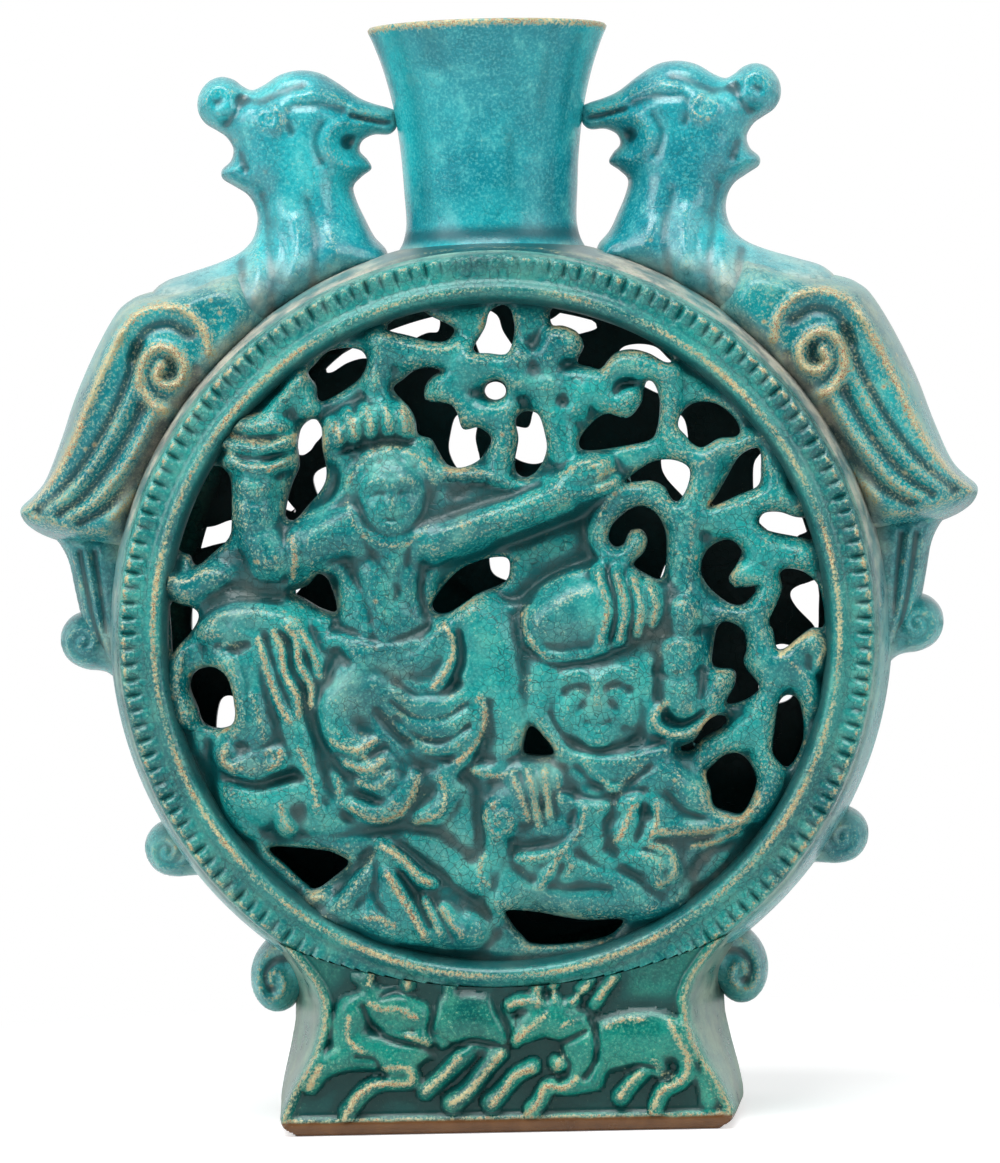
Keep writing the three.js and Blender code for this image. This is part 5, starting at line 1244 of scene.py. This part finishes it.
# The foot: a hollow splayed base pressed in two halves, saddled to the drum, with a sunk picture of two
# running deer on each face inside a raised rim. Its standing edge was wiped clean and burnt brown.
FOOT_FACE = 46.0
FOOT_FIELD = 1.8
FOOT_SEAM = [
    (0, 63.0), (0.7, 66.4), (2.0, 69.0), (4, 70.4), (8, 70.2), (14, 69), (22, 67), (30, 65.3), (38, 65),
    (44, 66.6), (50, 69.6), (58, 75), (64, 79),
]
FOOT_EDGE = [
    (0, 61.6), (0.7, 64.6), (2.0, 66.8), (4.5, 67.6), (9, 66), (14.5, 63.4), (20, 59.8), (25, 57.2),
    (32, 54.9), (39, 54.4), (45, 56.6), (50, 60.2), (58, 66.5), (64, 71),
]
LEADER, FOLLOWER = 1, 2
DEER_ROLLS = {
    LEADER: [
        (3.4, -30, 27, 7, -18, 32, 9, -8, 32.4, 9.4, -1, 30, 7),
        (3.8, -46.4, 33, 5.6, -45, 27, 6.4, -37, 24.4, 6, -28, 24.4, 5),
        (4.4, -45, 37, 5.4, -38, 38, 6.4, -30, 37, 6.2, -25, 35, 4),
        (4.6, -35, 31.4, 4, -28, 29.6, 3.8, -22.6, 28, 3.2),
        (3.8, -43, 24, 4.8, -50, 22.6, 4.4, -55, 19.6, 3.6, -58.2, 15, 2.8),
        (3.8, -38, 22.6, 3.8, -34, 20.6, 3.2, -29, 19.4, 3, -28.4, 15.8, 2.6, -37, 15.4, 2.7, -42, 13, 2.8,
         -47.4, 7, 2.7),
        (4.0, -34, 23, 2.8, -32.6, 19.4, 2.4),
        (3.6, -12, 23.6, 3.4, -18, 17.8, 2.9, -24, 12.8, 3),
        (3.6, -1, 24.6, 3, -7, 18, 2.9, -11, 13, 3, -16, 9.2, 3.6),
        (3.0, -39, 42, 2.6, -40.6, 46, 2.3, -38.6, 51, 1.9),
        (3.0, -30, 40.6, 2.6, -28.4, 45, 2.3, -27.8, 48.4, 1.8),
        (2.4, -40.6, 44, 2, -44, 47, 1.6),
        (2.2, -16, 40, 2.2, -16, 44, 2, -15.6, 47.4, 1.6),
    ],
    FOLLOWER: [
        (3.8, 25, 24, 8, 34, 26.6, 8.8, 43, 27.4, 8.8, 49, 27, 7),
        (4.2, 16, 33, 6.2, 21, 29.4, 7, 25, 25, 7),
        (4.6, 15, 34, 6, 9, 32.6, 5.4, 4.4, 28.8, 4, 2.8, 27.4, 3),
        (4.0, 1.5, 37.6, 2.2, 5, 39, 2.6, 10, 38, 2.8),
        (3.6, 25, 19, 6, 20, 20, 4.6, 15.6, 20.6, 3.2),
        (3.8, 26, 15, 3.4, 18, 13.4, 3, 12.6, 13.6, 2.8, 9.6, 9, 2.8, 7.4, 7, 2.7),
        (3.6, 8, 19.6, 2.8, 3, 17, 2.8, -1, 12.6, 2.8, -4.6, 9, 3.4),
        (3.6, 40.6, 18, 3.2, 36.8, 13.6, 2.8, 33.8, 10, 3),
        (4.0, 50.4, 29, 5, 53, 23, 3.8, 53.6, 18, 3, 52, 14.6, 2.8, 46.6, 11.6, 2.8, 44.2, 7.2, 2.7),
        (3.4, 42, 21, 3.6, 46, 17.4, 2.6),
        (3.0, 10.4, 39, 2.4, 9.2, 45, 2),
        (3.0, 15, 39, 2.4, 14.6, 45, 1.9),
        (3.0, 19.6, 38, 2.4, 23.6, 42.6, 2.1, 25.6, 45, 1.7),
        (3.0, 26.6, 37.6, 2.3, 30, 42.4, 2, 33, 46, 1.7),
        (2.2, 58, 16, 3, 60, 11, 3.6, 60, 8.4, 3.4),
    ],
}
DEER_LINES = [
    # cream on the leading deer
    (1.2, 0.5, 0.9, -46, 35, -46.4, 29, -42, 25),
    (1.1, 0.5, 0.8, -40, 39.6, -36, 37.6, -31, 37.6, -26, 35),
    (1.1, 0.5, 0.9, -29, 29.6, -23, 27.2),
    (1.2, 0.4, 0.9, -36, 20, -29, 20, -28.5, 15.5, -38, 15.4, -44, 12, -48.5, 5),
    (1.3, 0.4, 0.8, -55, 20.6, -58.4, 14.6),
    (1.3, 0.4, 0.8, -13.6, 22.8, -18, 18, -24, 13),
    (1.4, 0.4, 0.9, -1, 24, -6, 18, -12, 12, -16, 9.4),
    (1.1, 0.4, 0.8, -40, 45, -38, 50),
    (1.1, 0.4, 0.8, -28.5, 43.6, -28, 47.6),
    (1.4, -0.9, 0, -37.4, 31.6, -33, 31.2, -27, 31),
    (1.2, -0.9, 0, -20, 30, -16, 27, -12, 25.6),
    (1.2, 0.4, 0.7, -27, 34.6, -29, 37),
    # cream on the following deer
    (1.3, 0.5, 0.85, 12, 35, 7, 31, 3.6, 28),
    (1.1, 0.5, 0.8, 1.6, 38, 6, 39.2, 11, 38.6),
    (1.1, 0.5, 0.7, 17, 31.6, 20.6, 33.4),
    (1.3, 0.4, 0.8, 30, 31, 35, 33, 41, 33),
    (1.2, 0.5, 0.85, 48.6, 33, 50.6, 28, 54, 21, 52, 14.8, 46, 12, 42.4, 5),
    (1.2, 0.4, 0.85, 21, 16, 17, 13.2, 11.6, 13.8, 9.4, 9, 5.4, 5),
    (1.4, 0.4, 0.85, 8, 18.6, 3, 17.4, -1.4, 12, -4.4, 8.6),
    (1.2, 0.4, 0.8, 40, 17.4, 36.6, 14.4, 33.6, 10.4),
    (1.4, 0.4, 0.7, 17, 22.6, 15, 18.6),
    (1.1, 0.4, 0.8, 10.4, 40, 9.4, 44),
    (1.1, 0.4, 0.8, 15, 39, 14.6, 43.4),
    (1.1, 0.4, 0.8, 20, 38.4, 25, 43.6),
    (1.1, 0.4, 0.8, 28, 39.4, 32.6, 45),
    (1.2, -0.9, 0, 27, 31, 26, 26, 27, 21),
    (1.2, 0.4, 0.7, 44, 21, 46, 17, 50, 15.6),
    # grooves between legs, necks and heads
    (1.7, -1.9, 0, -41.9, 38.4, -39, 32.2, -33.2, 28.6, -25.2, 26.6, -19.5, 24),
    (1.8, -2, 0, -22.3, 45.6, -21, 37.9, -22.1, 31, -20.9, 26.4),
    (1.8, -2, 0, -0.8, 46.3, -2.2, 38.2, 0.7, 31.2, 1.4, 26.6),
    (1.7, -1.8, 0, 5.2, 25.6, 14.7, 26, 23.7, 29.8),
    (1.7, -1.8, 0, 25.6, 32.8, 27.6, 26, 25.6, 19.6, 23.4, 16.1),
    (1.7, -1.7, 0, -17.1, 24.6, -10.2, 27.5, -1.3, 25.7, 3, 23.5),
    (1.6, -1.6, 0, 37.3, 17.8, 40.4, 19.2, 45, 18.2, 48.3, 14.7),
    (1.5, -1.5, 0, -44.1, 23.7, -38.7, 22.6, -36.5, 17.5),
    (1.5, -1.5, 0, 15.9, 23.8, 18.9, 19.7, 15.7, 15.5),
    (1.5, -1.4, 0, -36, 41.6, -31.3, 42.4, -24.9, 40.8),
    (1.5, -1.4, 0, 11.7, 40.5, 17.1, 41.9, 24, 39.6),
]
def saddle_at(x):
    """The height of the saddle that the drum stands in."""
    return SADDLE_MIDDLE - np.sqrt(SADDLE_RADIUS**2 - x**2)


field = Slab(-79.2, 79.2, 0, 64.2, PITCH)
seam = blurred(np.interp(field.z, *zip(*FOOT_SEAM)), 1)
edge = blurred(np.interp(field.z, *zip(*FOOT_EDGE)), 1)
in_from_seam = (seam - np.abs(field.x)) / (seam - edge)
in_from_edge = edge - np.abs(field.x)
draft = np.clip(in_from_seam, 0.012, 2.0)
ground = FOOT_FACE * (np.minimum(draft, 1) - np.clip(0.28 - np.abs(draft - 1), 0, 1) ** 2 / 1.12)
sunk = step_up(in_from_edge, 2.2, 4.2) * step_up(field.z, 4.6, 6.4)
ground -= FOOT_FIELD * sunk
rim_line = bell(in_from_edge, 1.2, 1.0) * (field.z > 3)
ground += 0.7 * rim_line
ground -= 1.6 * np.clip(1 - field.z / 2.4, 0, 1) ** 2 * step_up(ground, 10, 30)
ground -= 0.5 * bell(field.z, 4.8, 0.6) * (in_from_edge > 2)
for maker, rolls in DEER_ROLLS.items():
    for rise, *rows in rolls:
        field.lay(rows, rise, maker, 2.4)
field.height = blurred(field.height, 1)
for width, rise, cream, *rows in DEER_LINES:
    field.draw(rows, width, rise, cream * 0.8)
relief = ground + field.height
close, wide = (blurred(relief, reach) for reach in (2, 5))
on_face = step_up(in_from_edge, 0, 2)
raised = step_up(field.height, 0.6, 2.2)
foot_pool_shade = np.clip((wide - relief) * 0.6, 0, 0.6) + np.clip((close - relief) * 0.9, 0, 0.5)
# painted shade on the sunk field round the deer
foot_pool_shade = on_face * (foot_pool_shade + (0.2 + 1.1 * blurred(raised, 5)) * sunk * (1 - raised))
# darker toward the top of the face
foot_pool_shade = np.maximum(foot_pool_shade, 0.35 * step_up(field.z, 38, 46) * on_face)
foot_thin = np.maximum(field.cream, 0.62 * rim_line)
foot_thin = np.maximum(foot_thin, 0.75 * bell(field.z, 4.5, 0.55) * (in_from_edge > 1))
foot_thin += (np.clip((relief - wide) * 0.1, 0, 0.25) + 0.05 * raised) * on_face
# a painted pale reflection on the drafted sides
foot_haze_sheen = 0.5 * step_up(-in_from_edge, -0.5, 1.5)
foot_x = np.clip(field.x, -seam, seam)
foot_spot = np.stack([foot_x, np.minimum(field.z, saddle_at(foot_x))], -1)
foot_cells = cells_of((in_from_seam > 0) & (field.z < saddle_at(field.x)))
foot, _ = slab_piece("foot_glazed", field, foot_spot, ground, -ground[:, ::-1], foot_cells)
core_half = [(117.1, 17), (115.2, 30), (113.0, 38.15), (0, 38.15)]
core_line = [(radius, -along) for radius, along in reversed(core_half)] + [(118.3, 0)] + core_half
cut_by(foot, turned("drum_core", core_line, 160, drum_centre, (0, 1, 0)))
bpy.ops.object.select_all(action="DESELECT")
bpy.ops.mesh.primitive_cube_add(size=1, location=(0, 0, 0.009))
hollow = bpy.context.object
hollow.scale = (0.112, 0.074, 0.022)
bpy.ops.object.transform_apply(scale=True)
cut_by(foot, hollow)
smoothed(foot, 40)


def field_at(values, p):
    """Reads the foot's picture at points of either face; the back face is the front one turned round."""
    side = np.where(p[:, 1] < 0, 1, -1)
    last_row, last_column = (count - 1 for count in field.x.shape)
    column = np.clip(np.rint((p[:, 0] * side - field.x[0, 0]) / PITCH), 0, last_column).astype(int)
    row = np.clip(np.rint(p[:, 2] / PITCH), 0, last_row).astype(int)
    return values[row, column]


def foot_places(p):
    """Pooled glaze and painted shade round the deer, painted shade in the hollow, cream along the rim, and a
    painted pale reflection on the drafted sides.
    """
    inside = (np.abs(p[:, 1]) < 37.5) & (np.abs(p[:, 0]) < 56.5) & (p[:, 2] < 21)
    # painted shade over the inside of the hollow
    pool_shade = np.where(inside, 0.9, field_at(foot_pool_shade, p))
    return field_at(foot_thin, p), pool_shade, field_at(foot_haze_sheen, p)


foot_glaze = glaze_material("foot_glaze", 0.45, 0.95)
nodes = foot_glaze.node_tree.nodes
link = foot_glaze.node_tree.links.new
skin = nodes["Principled BSDF"]
glazed = skin.inputs["Base Color"].links[0].from_socket
where = nodes.new("ShaderNodeTexCoord")
height_of = nodes.new("ShaderNodeSeparateXYZ")
link(where.outputs["Object"], height_of.inputs[0])
ripple = nodes.new("ShaderNodeTexNoise")
ripple.inputs["Scale"].default_value = 160
ripple.inputs["Detail"].default_value = 4
link(where.outputs["Object"], ripple.inputs["Vector"])
wiped = nodes.new("ShaderNodeMath")
wiped.operation = "MULTIPLY_ADD"
wiped.inputs[1].default_value = 0.0016
link(ripple.outputs["Fac"], wiped.inputs[0])
link(height_of.outputs["Z"], wiped.inputs[2])
bare_edge = nodes.new("ShaderNodeMapRange")
for key, number in (("From Min", 0.0046), ("From Max", 0.0054), ("To Min", 1.0), ("To Max", 0.0)):
    bare_edge.inputs[key].default_value = number
link(wiped.outputs[0], bare_edge.inputs["Value"])
clay = nodes.new("ShaderNodeMix")
clay.data_type = "RGBA"
clay.inputs["A"].default_value = linear(72, 46, 26)
clay.inputs["B"].default_value = linear(122, 84, 50)
link(ripple.outputs["Fac"], clay.inputs["Factor"])
worn = nodes.new("ShaderNodeMix")
worn.data_type = "RGBA"
link(bare_edge.outputs[0], worn.inputs["Factor"])
link(glazed, worn.inputs["A"])
link(clay.outputs["Result"], worn.inputs["B"])
link(worn.outputs["Result"], skin.inputs["Base Color"])
stain(foot, foot_places)
fired(foot, foot_glaze, "foot_glaze", "foot")


# The deer: four small sprigs, pressed in a mould and stuck to the sunk faces of the foot with slip.
# Their backs and legs stand highest, so the glaze has run off them to cream.
deer_surface = relief - 0.15
for maker, word in ((LEADER, "deer_leader"), (FOLLOWER, "deer_follower")):
    name, cells = "front_" + word, cells_of(field.maker == maker)
    piece, _ = slab_piece(name + "_glazed", field, foot_spot, deer_surface, ground - 1.6, cells)
    smoothed(piece, 60)
    both_sides(piece, name, foot_places, foot_glaze, "foot_glaze")


# The neck: a clay trumpet thrown on the wheel and saddled over the hole in the drum. Glaze has run off
# its lip, lies dark in the crease at its base, where shade is painted in, and has taken a few dark smudges
# in the kiln.
NECK_OUTER = [
    (29.4, 258.5), (28.6, 262), (26.9, 265.4), (26, 269), (25.8, 273), (26.2, 280), (26.8, 290), (27.8, 299),
    (29.3, 308), (31.6, 317), (34.2, 324.5), (35.9, 328.4),
]
NECK_INNER = [
    (33.4, 328.0), (31.0, 323), (28.0, 316), (25.6, 308), (23.8, 299), (22.6, 290), (21.4, 280),
    (20.6, 270), (20.4, 258.5),
]
NECK_CREASE = 266.5
lip = [(36.2, 329.3), (35.7, 329.9), (34.8, 330.0), (34.0, 329.4)]
neck_line = run_through(NECK_OUTER, 4).tolist() + lip + run_through(NECK_INNER, 4).tolist()
neck = turned("neck_glazed", neck_line, 144, (0, 0, 0), (0, 0, 1))
smoothed(neck, 60)


def neck_places(p):
    """Cream on the lip, painted shade and pooled glaze in the crease at the base, soft dark smudges and the
    painted shade of the inside.
    """
    x, y, z = p.T
    radius = np.hypot(x, y)
    around = np.arctan2(x, -y)
    thin = 0.85 * step_up(z, 326.4, 328.8)
    inside = radius < np.interp(z, [258, 280, 300, 316, 329], [23, 24, 26, 29.5, 34.6])
    # painted shade in the crease at the base
    pool_shade = 0.75 * np.clip(1 - np.abs(z - NECK_CREASE) / 4.5, 0, 1)
    for angle, low, high, reach in (
        (-0.82, 264, 326, 0.22), (0.62, 302, 318, 0.1), (0.95, 296, 324, 0.12), (-0.5, 318, 326, 0.25),
        (2.4, 285, 320, 0.16), (-2.2, 290, 325, 0.14), (0.25, 280, 296, 0.1), (3.0, 300, 318, 0.12),
    ):
        streak = bell(around, angle, reach) * step_up(z, low - 6, low) * step_up(-z, -high - 6, -high)
        pool_shade = np.maximum(pool_shade, 0.32 * streak)
    haze_sheen = 0.5 * step_up(-z, -265, -262) * step_up(np.abs(around), 0.5, 1.1)
    return thin, np.where(inside, 0.85 * step_up(-z, -326, -300), pool_shade), haze_sheen


neck_glaze = glaze_material("neck_glaze", 0.3, 0.02)
stain(neck, neck_places)
fired(neck, neck_glaze, "neck_glaze", "neck")


# The wings: each pressed in a two-part mould with a drafted side, and luted to the drum's shoulder. A
# curled volute ends in long feather ridges that run down to a pointed tip.
HALF_PITCH = 0.7
WING_FACE = 30.0
WING_DRAFT = 8.5
WING_RIM = [
    74, 258, 80, 258.5, 88, 256, 95, 254, 105, 252, 110, 250, 114.5, 246, 121, 235, 127.5, 221, 132, 208.5,
    137, 196.5, 141, 191.5, 145, 187.6, 144, 183.4, 140, 180, 134, 177.4, 127, 175.6, 120, 174.4, 110, 173,
    107.5, 173, 107.6, 180, 103, 192, 96, 204, 88, 216, 79, 226, 70, 236, 66, 244,
]
WING_LINES = [
    (2.0, 2.4, 0.9, 98, 216, 102.4, 219.4, 105, 225, 104, 231, 99.6, 235, 94.4, 233.6, 91.6, 229, 93,
     224.6, 97, 223.4, 99.8, 226, 98.6, 229.4),
    (1.7, 1.9, 0.85, 84, 233, 85.6, 240, 91, 245.6, 99, 247.4, 106, 244.6, 111, 238),
    (1.8, 1.7, 0.85, 110, 239.6, 116, 228.4, 121, 217.6, 126, 206.6, 132, 197, 142, 187.4),
    (2.6, -1.7, 0, 106, 235, 109, 224, 115, 212, 122.6, 200, 132, 190, 137, 186.8),
    (1.9, 1.5, 0.35, 106.4, 225, 111.4, 214, 118.4, 202.4, 126.6, 192.6, 134, 187),
    (2.2, -1.5, 0, 104.6, 217.6, 109.6, 208, 116.4, 198, 124, 190, 130, 186),
    (1.9, 1.5, 0.5, 100.6, 216, 105.6, 206.4, 112.4, 196.4, 120, 188.6, 127, 185),
    (2.2, -1.4, 0, 98.6, 212, 103.4, 203, 109.6, 194, 116.4, 187.4, 124, 183.4),
    (1.8, 1.3, 0.6, 96, 210, 101, 200.6, 107.4, 191, 113.6, 184.6),
    (2.4, -1.5, 0, 90, 238.6, 96, 241.6, 103, 239.6, 107, 232),
    (2.0, -1.7, 0, 95.6, 230.6, 95.4, 227, 97.4, 226.2),
    (2.0, -1.1, 0, 88, 228, 90, 221.6, 94, 218),
    (1.6, 0.9, 0.45, 116, 180, 124, 180.6, 132, 183.4, 141, 186),
]


def moulded(name, rim, depth_at, lines, pitch, haze_sheen_at, worn=0.0):
    """A piece pressed in two mirrored mould halves inside an outline, with lines drawn on both sides."""
    loop = run_through(np.reshape(rim, (-1, 2)), 6, closed=True)
    low, high = loop.min(axis=0) - 2 * pitch, loop.max(axis=0) + 2 * pitch
    slab = Slab(low[0], high[0], low[1], high[1], pitch)
    gap, near = edge_of(slab, [loop], 60.0)
    inward = np.clip(-gap, 0, None)
    for width, rise, cream, *rows in lines:
        slab.draw(rows, width, rise, cream)
    hold = step_up(inward, 0.4, 3.5)
    soft = step_up(inward, 2.5, 6.0)
    inward = inward * (1 - soft) + blurred(inward, 4) * soft
    half = np.maximum(depth_at(slab, inward) + slab.height * hold, 0.25)
    inside = gap < 0
    at = np.where(inside[..., None], np.stack([slab.x, slab.z], -1), near)
    piece, used = slab_piece(name, slab, at, half, -half, cells_of(inside))
    shape = slab.height * hold
    wide, close = blurred(shape, 5), blurred(shape, 2)
    pool_shade = np.clip((wide - shape) * 0.5, 0, 0.8) + np.clip((close - shape) * 0.4, 0, 0.4)
    thin = np.maximum(slab.cream * hold * 0.72, np.clip((shape - wide) * 0.2, 0, 0.36)) + worn
    masks = [values.ravel()[used % slab.x.size] for values in (thin, pool_shade, haze_sheen_at(slab, inward))]
    smoothed(piece, 50)
    return piece, masks


def wing_depth(slab, inward):
    """A straight draft from the seam to the flat of the wing, rounded where they meet."""
    t = np.clip(inward / WING_DRAFT, 0, 1)
    return WING_FACE * (1 - (1 - t) ** 2) ** 0.7


def wing_haze_sheen(slab, inward):
    """A painted pale reflection on the upper, upward-facing part of the drafted side, and grey along the
    foot of the wing, where it meets the drum.
    """
    # painted pale reflection on the drafted side, only where it faces up
    side = 0.5 * (1 - step_up(inward, 3.5, 6.5)) * step_up(slab.z, 186, 232)
    low = 0.6 * (1 - step_up(np.hypot(slab.x, slab.z - DRUM_MIDDLE), 117, 122))
    return np.maximum(np.maximum(side, low), 0.5 * step_up(slab.z, 246, 256))


wing_glaze = glaze_material("wing_glaze", 0.45, 0.38)
wing, masks = moulded(
    "right_wing_glazed", WING_RIM, wing_depth, WING_LINES, HALF_PITCH, wing_haze_sheen, 0.3
)
both_sides(wing, "right_wing", masks, wing_glaze, "ornament_glaze")


# The phoenix handles: a bird's head and breast on each shoulder, pressed in two halves and luted to the
# drum with the beak just touching the neck. The heads are smooth; only beak, eye and curl are cut in.
PHOENIX_RIM = [
    28.2, 304.8, 30.4, 306.2, 35, 307.6, 39.5, 309.6, 45.5, 314, 51, 317.2, 57, 318.2, 63, 317, 68, 314,
     71.6, 312.6,
    74.4, 313.8, 77.4, 316, 81.4, 316.8, 85.4, 315, 88, 311, 88.2, 306.6, 86.2, 303, 82.6, 300.6, 79.8,
     298.6, 77.8, 295,
    78.6, 291.4, 81.4, 288.6, 81.2, 286, 77.6, 283.6, 73.8, 281, 71.6, 277.4, 71, 272.6, 72.6, 267.4, 76.4,
     263.6,
    83, 260.6, 92, 257.8, 100, 255, 104, 250, 100, 242, 90, 232, 80, 230, 66, 241.4, 50, 250.8, 40, 255.4,
     32, 258,
    32, 263, 35.6, 267.4, 38.4, 273, 40.6, 278, 41.6, 282.6, 39, 285.6, 36, 288, 37.2, 290.8, 39.4, 293.4,
     38.6, 296.4,
    35, 298.2, 30.4, 298.2, 28, 300.6,
]
PHOENIX_LINES = [
    (1.8, 0.7, 0.4, *curl(66.6, 303.4, 3.8, 0.8, 1.2, 120)),
    (2.4, 0.8, 0.45, 40, 308, 46, 309.4, 52, 310.6, 57, 309.4),
    (2.6, -1.1, 0, 44, 305.4, 50, 307, 56, 307.2),
    (2.8, -1.2, 0, 56, 312.4, 62, 311, 68, 308.6, 75, 309.4),
    (2.2, 0.9, 0.4, 36, 300, 42.6, 301.6, 47.4, 299, 48.4, 294, 45.6, 289.6, 40.4, 287.8),
    (2.8, -2.6, 0, 36.6, 296, 42.4, 295.8),
    (1.6, -1.6, 0, 29.6, 301.6, 35, 302.2, 41, 303.4),
    (1.8, 0.9, 0.55, 64, 306.4, 61.4, 303, 63.6, 299.6),
    (2.4, -0.9, 0, 59, 299, 60.6, 303.6, 58.4, 308),
    (2.6, -0.9, 0, 50, 301, 52, 296, 50.4, 290),
    (1.8, 0.6, 0.5, 31, 303.4, 36, 304.6, 41, 306),
    (2.6, -1.5, 0, 73.4, 312, 74.6, 307.6, 77.4, 303.4, 80, 301.4),
    (2.0, -1.0, 0, 80.4, 309, 81.6, 308.4),
    (1.8, 0.6, 0.45, 77, 311.4, 80.4, 313.6, 84, 311.6, 85, 308),
    (2.6, -1.3, 0, 78.4, 294.6, 75, 292.4, 73.4, 288.6),
    (3.0, -1.1, 0, 68.6, 280, 66.8, 268, 65.4, 256, 66, 246),
    (2.4, 1.1, 0.35, 72.4, 268, 70, 260, 69.6, 250),
    (3.0, -1.1, 0, 78, 267, 74.8, 257, 75, 246),
    (2.8, 1.1, 0.2, 59, 272, 58, 266, 58.6, 256),
    (3.0, -1.0, 0, 54.6, 278, 52.2, 266, 53.6, 253),
    (2.4, 0.6, 0.4, 48, 268, 46.6, 262.6),
    (2.8, -0.7, 0, 64.6, 272, 61.6, 263, 62.4, 254),
    (1.6, 0.7, 0.5, 78, 247, 80, 251, 79.6, 255),
]


def phoenix_depth(slab, inward):
    """Full and round at the head, slim at the beak, spreading to the breast."""
    full = np.interp(slab.z, [232, 246, 258, 270, 284, 300, 318], [33, 29, 22, 15.5, 14, 15, 14])
    head = step_up(slab.z, 268, 284)
    full *= np.interp(slab.x, [28, 36, 44, 52], [0.42, 0.55, 0.85, 1.0]) * head + (1 - head)
    t = np.clip(inward / 13.5, 0, 1)
    return blurred(full, 9) * np.sqrt(1 - (1 - t) ** 2)


def phoenix_haze_sheen(slab, inward):
    """Grey haze on the breast and the shoulder, none on the head except a painted pale reflection along the
    drafted edge all round.
    """
    return 0.75 * step_up(-slab.z, -264, -248) + 0.22 * step_up(-inward, -3, 0)


phoenix_glaze = glaze_material("phoenix_glaze", 0.45, 0.0, 1.6)
bird, masks = moulded(
    "right_phoenix_glazed", PHOENIX_RIM, phoenix_depth, PHOENIX_LINES, PITCH, phoenix_haze_sheen, 0.08
)
both_sides(bird, "right_phoenix", masks, phoenix_glaze, "ornament_glaze")


# The tails and scroll knobs: small pressed pieces down each side of the drum, a bundle of tail feathers
# below the wing and three curled knobs, all luted on over the seam.
TAIL_RIM = [
    108, 182, 124, 182.4, 137, 181.4, 133.4, 176.4, 130.8, 171, 129.2, 163, 127.8, 156, 126, 149, 122, 142.6,
    117, 137.6, 109, 136, 108, 156,
]
TAIL_LINES = [
    (1.3, 1.0, 0.55, 127.6, 173, 126, 163, 124.4, 154, 121.4, 145),
    (1.5, -1.4, 0, 125.6, 174, 123.8, 163, 122.2, 154, 119.6, 144),
    (1.3, 1.0, 0.55, 123.4, 174, 121.8, 163, 120.4, 154, 118, 144),
    (1.4, -1.2, 0, 121, 174, 119.6, 162, 118.6, 150),
]
UPPER_RIM = [
    112, 152, 119, 154.6, 124.6, 156, 130, 154.6, 133.4, 150.6, 133.8, 145.4, 131.4, 140.8, 126.6, 138.2,
    120, 137, 112, 132,
]
MIDDLE_RIM = [
    88, 88, 94, 91.6, 100.6, 92.4, 106.4, 90.4, 109.6, 86, 109.4, 80.4, 106, 76, 100.6, 74.4, 94, 74.8,
    85, 74.6, 80, 80,
]
LOWER_RIM = [
    58, 60, 66, 58.4, 72, 56, 76.6, 51, 78.6, 45, 78, 39, 75, 34.4, 70.6, 32.6, 66.4, 34, 63.6, 37.4,
    60, 42, 57, 50,
]
KNOB_PITCH = 0.55


def knob_depth(full, round_over):
    """A rounded cushion of that half-depth."""

    def depth_at(slab, inward):
        t = np.clip(inward / round_over, 0, 1)
        return full * np.sqrt(1 - (1 - t) ** 2)

    return depth_at


def knob_haze(slab, inward):
    """A little grey at the root, next to the drum."""
    return 0.08 + 0.3 * (1 - step_up(np.hypot(slab.x, slab.z - DRUM_MIDDLE), 117, 122))


SIDE_PIECES = [
    ("tail", TAIL_RIM, 20, 10, TAIL_LINES),
    ("scroll_upper", UPPER_RIM, 14, 7, [(1.4, 1.2, 0.5, *curl(125.4, 146.6, 6.2, 0.6, 1.5, 250))]),
    ("scroll_middle", MIDDLE_RIM, 14, 7, [(1.4, 1.2, 0.5, *curl(101.8, 83.2, 6.0, 0.6, 1.5, 200))]),
    ("scroll_lower", LOWER_RIM, 14, 6, [
        (1.5, 1.4, 0.85, 63, 52, 68, 54, 73.4, 51, 75.6, 45, 74, 39, 70, 38, 67.4, 41.4, 68.6, 45.4,
         71.4, 45.6, 71.6, 43),
        (1.6, -1.4, 0, 66, 50, 70.6, 49, 72.8, 45, 71.6, 41),
    ]),
]
for word, rim, full, round_over, lines in SIDE_PIECES:
    name, depth_at = "right_" + word, knob_depth(full, round_over)
    knob, masks = moulded(name + "_glazed", rim, depth_at, lines, KNOB_PITCH, knob_haze)
    both_sides(knob, name, masks, wing_glaze, "ornament_glaze")
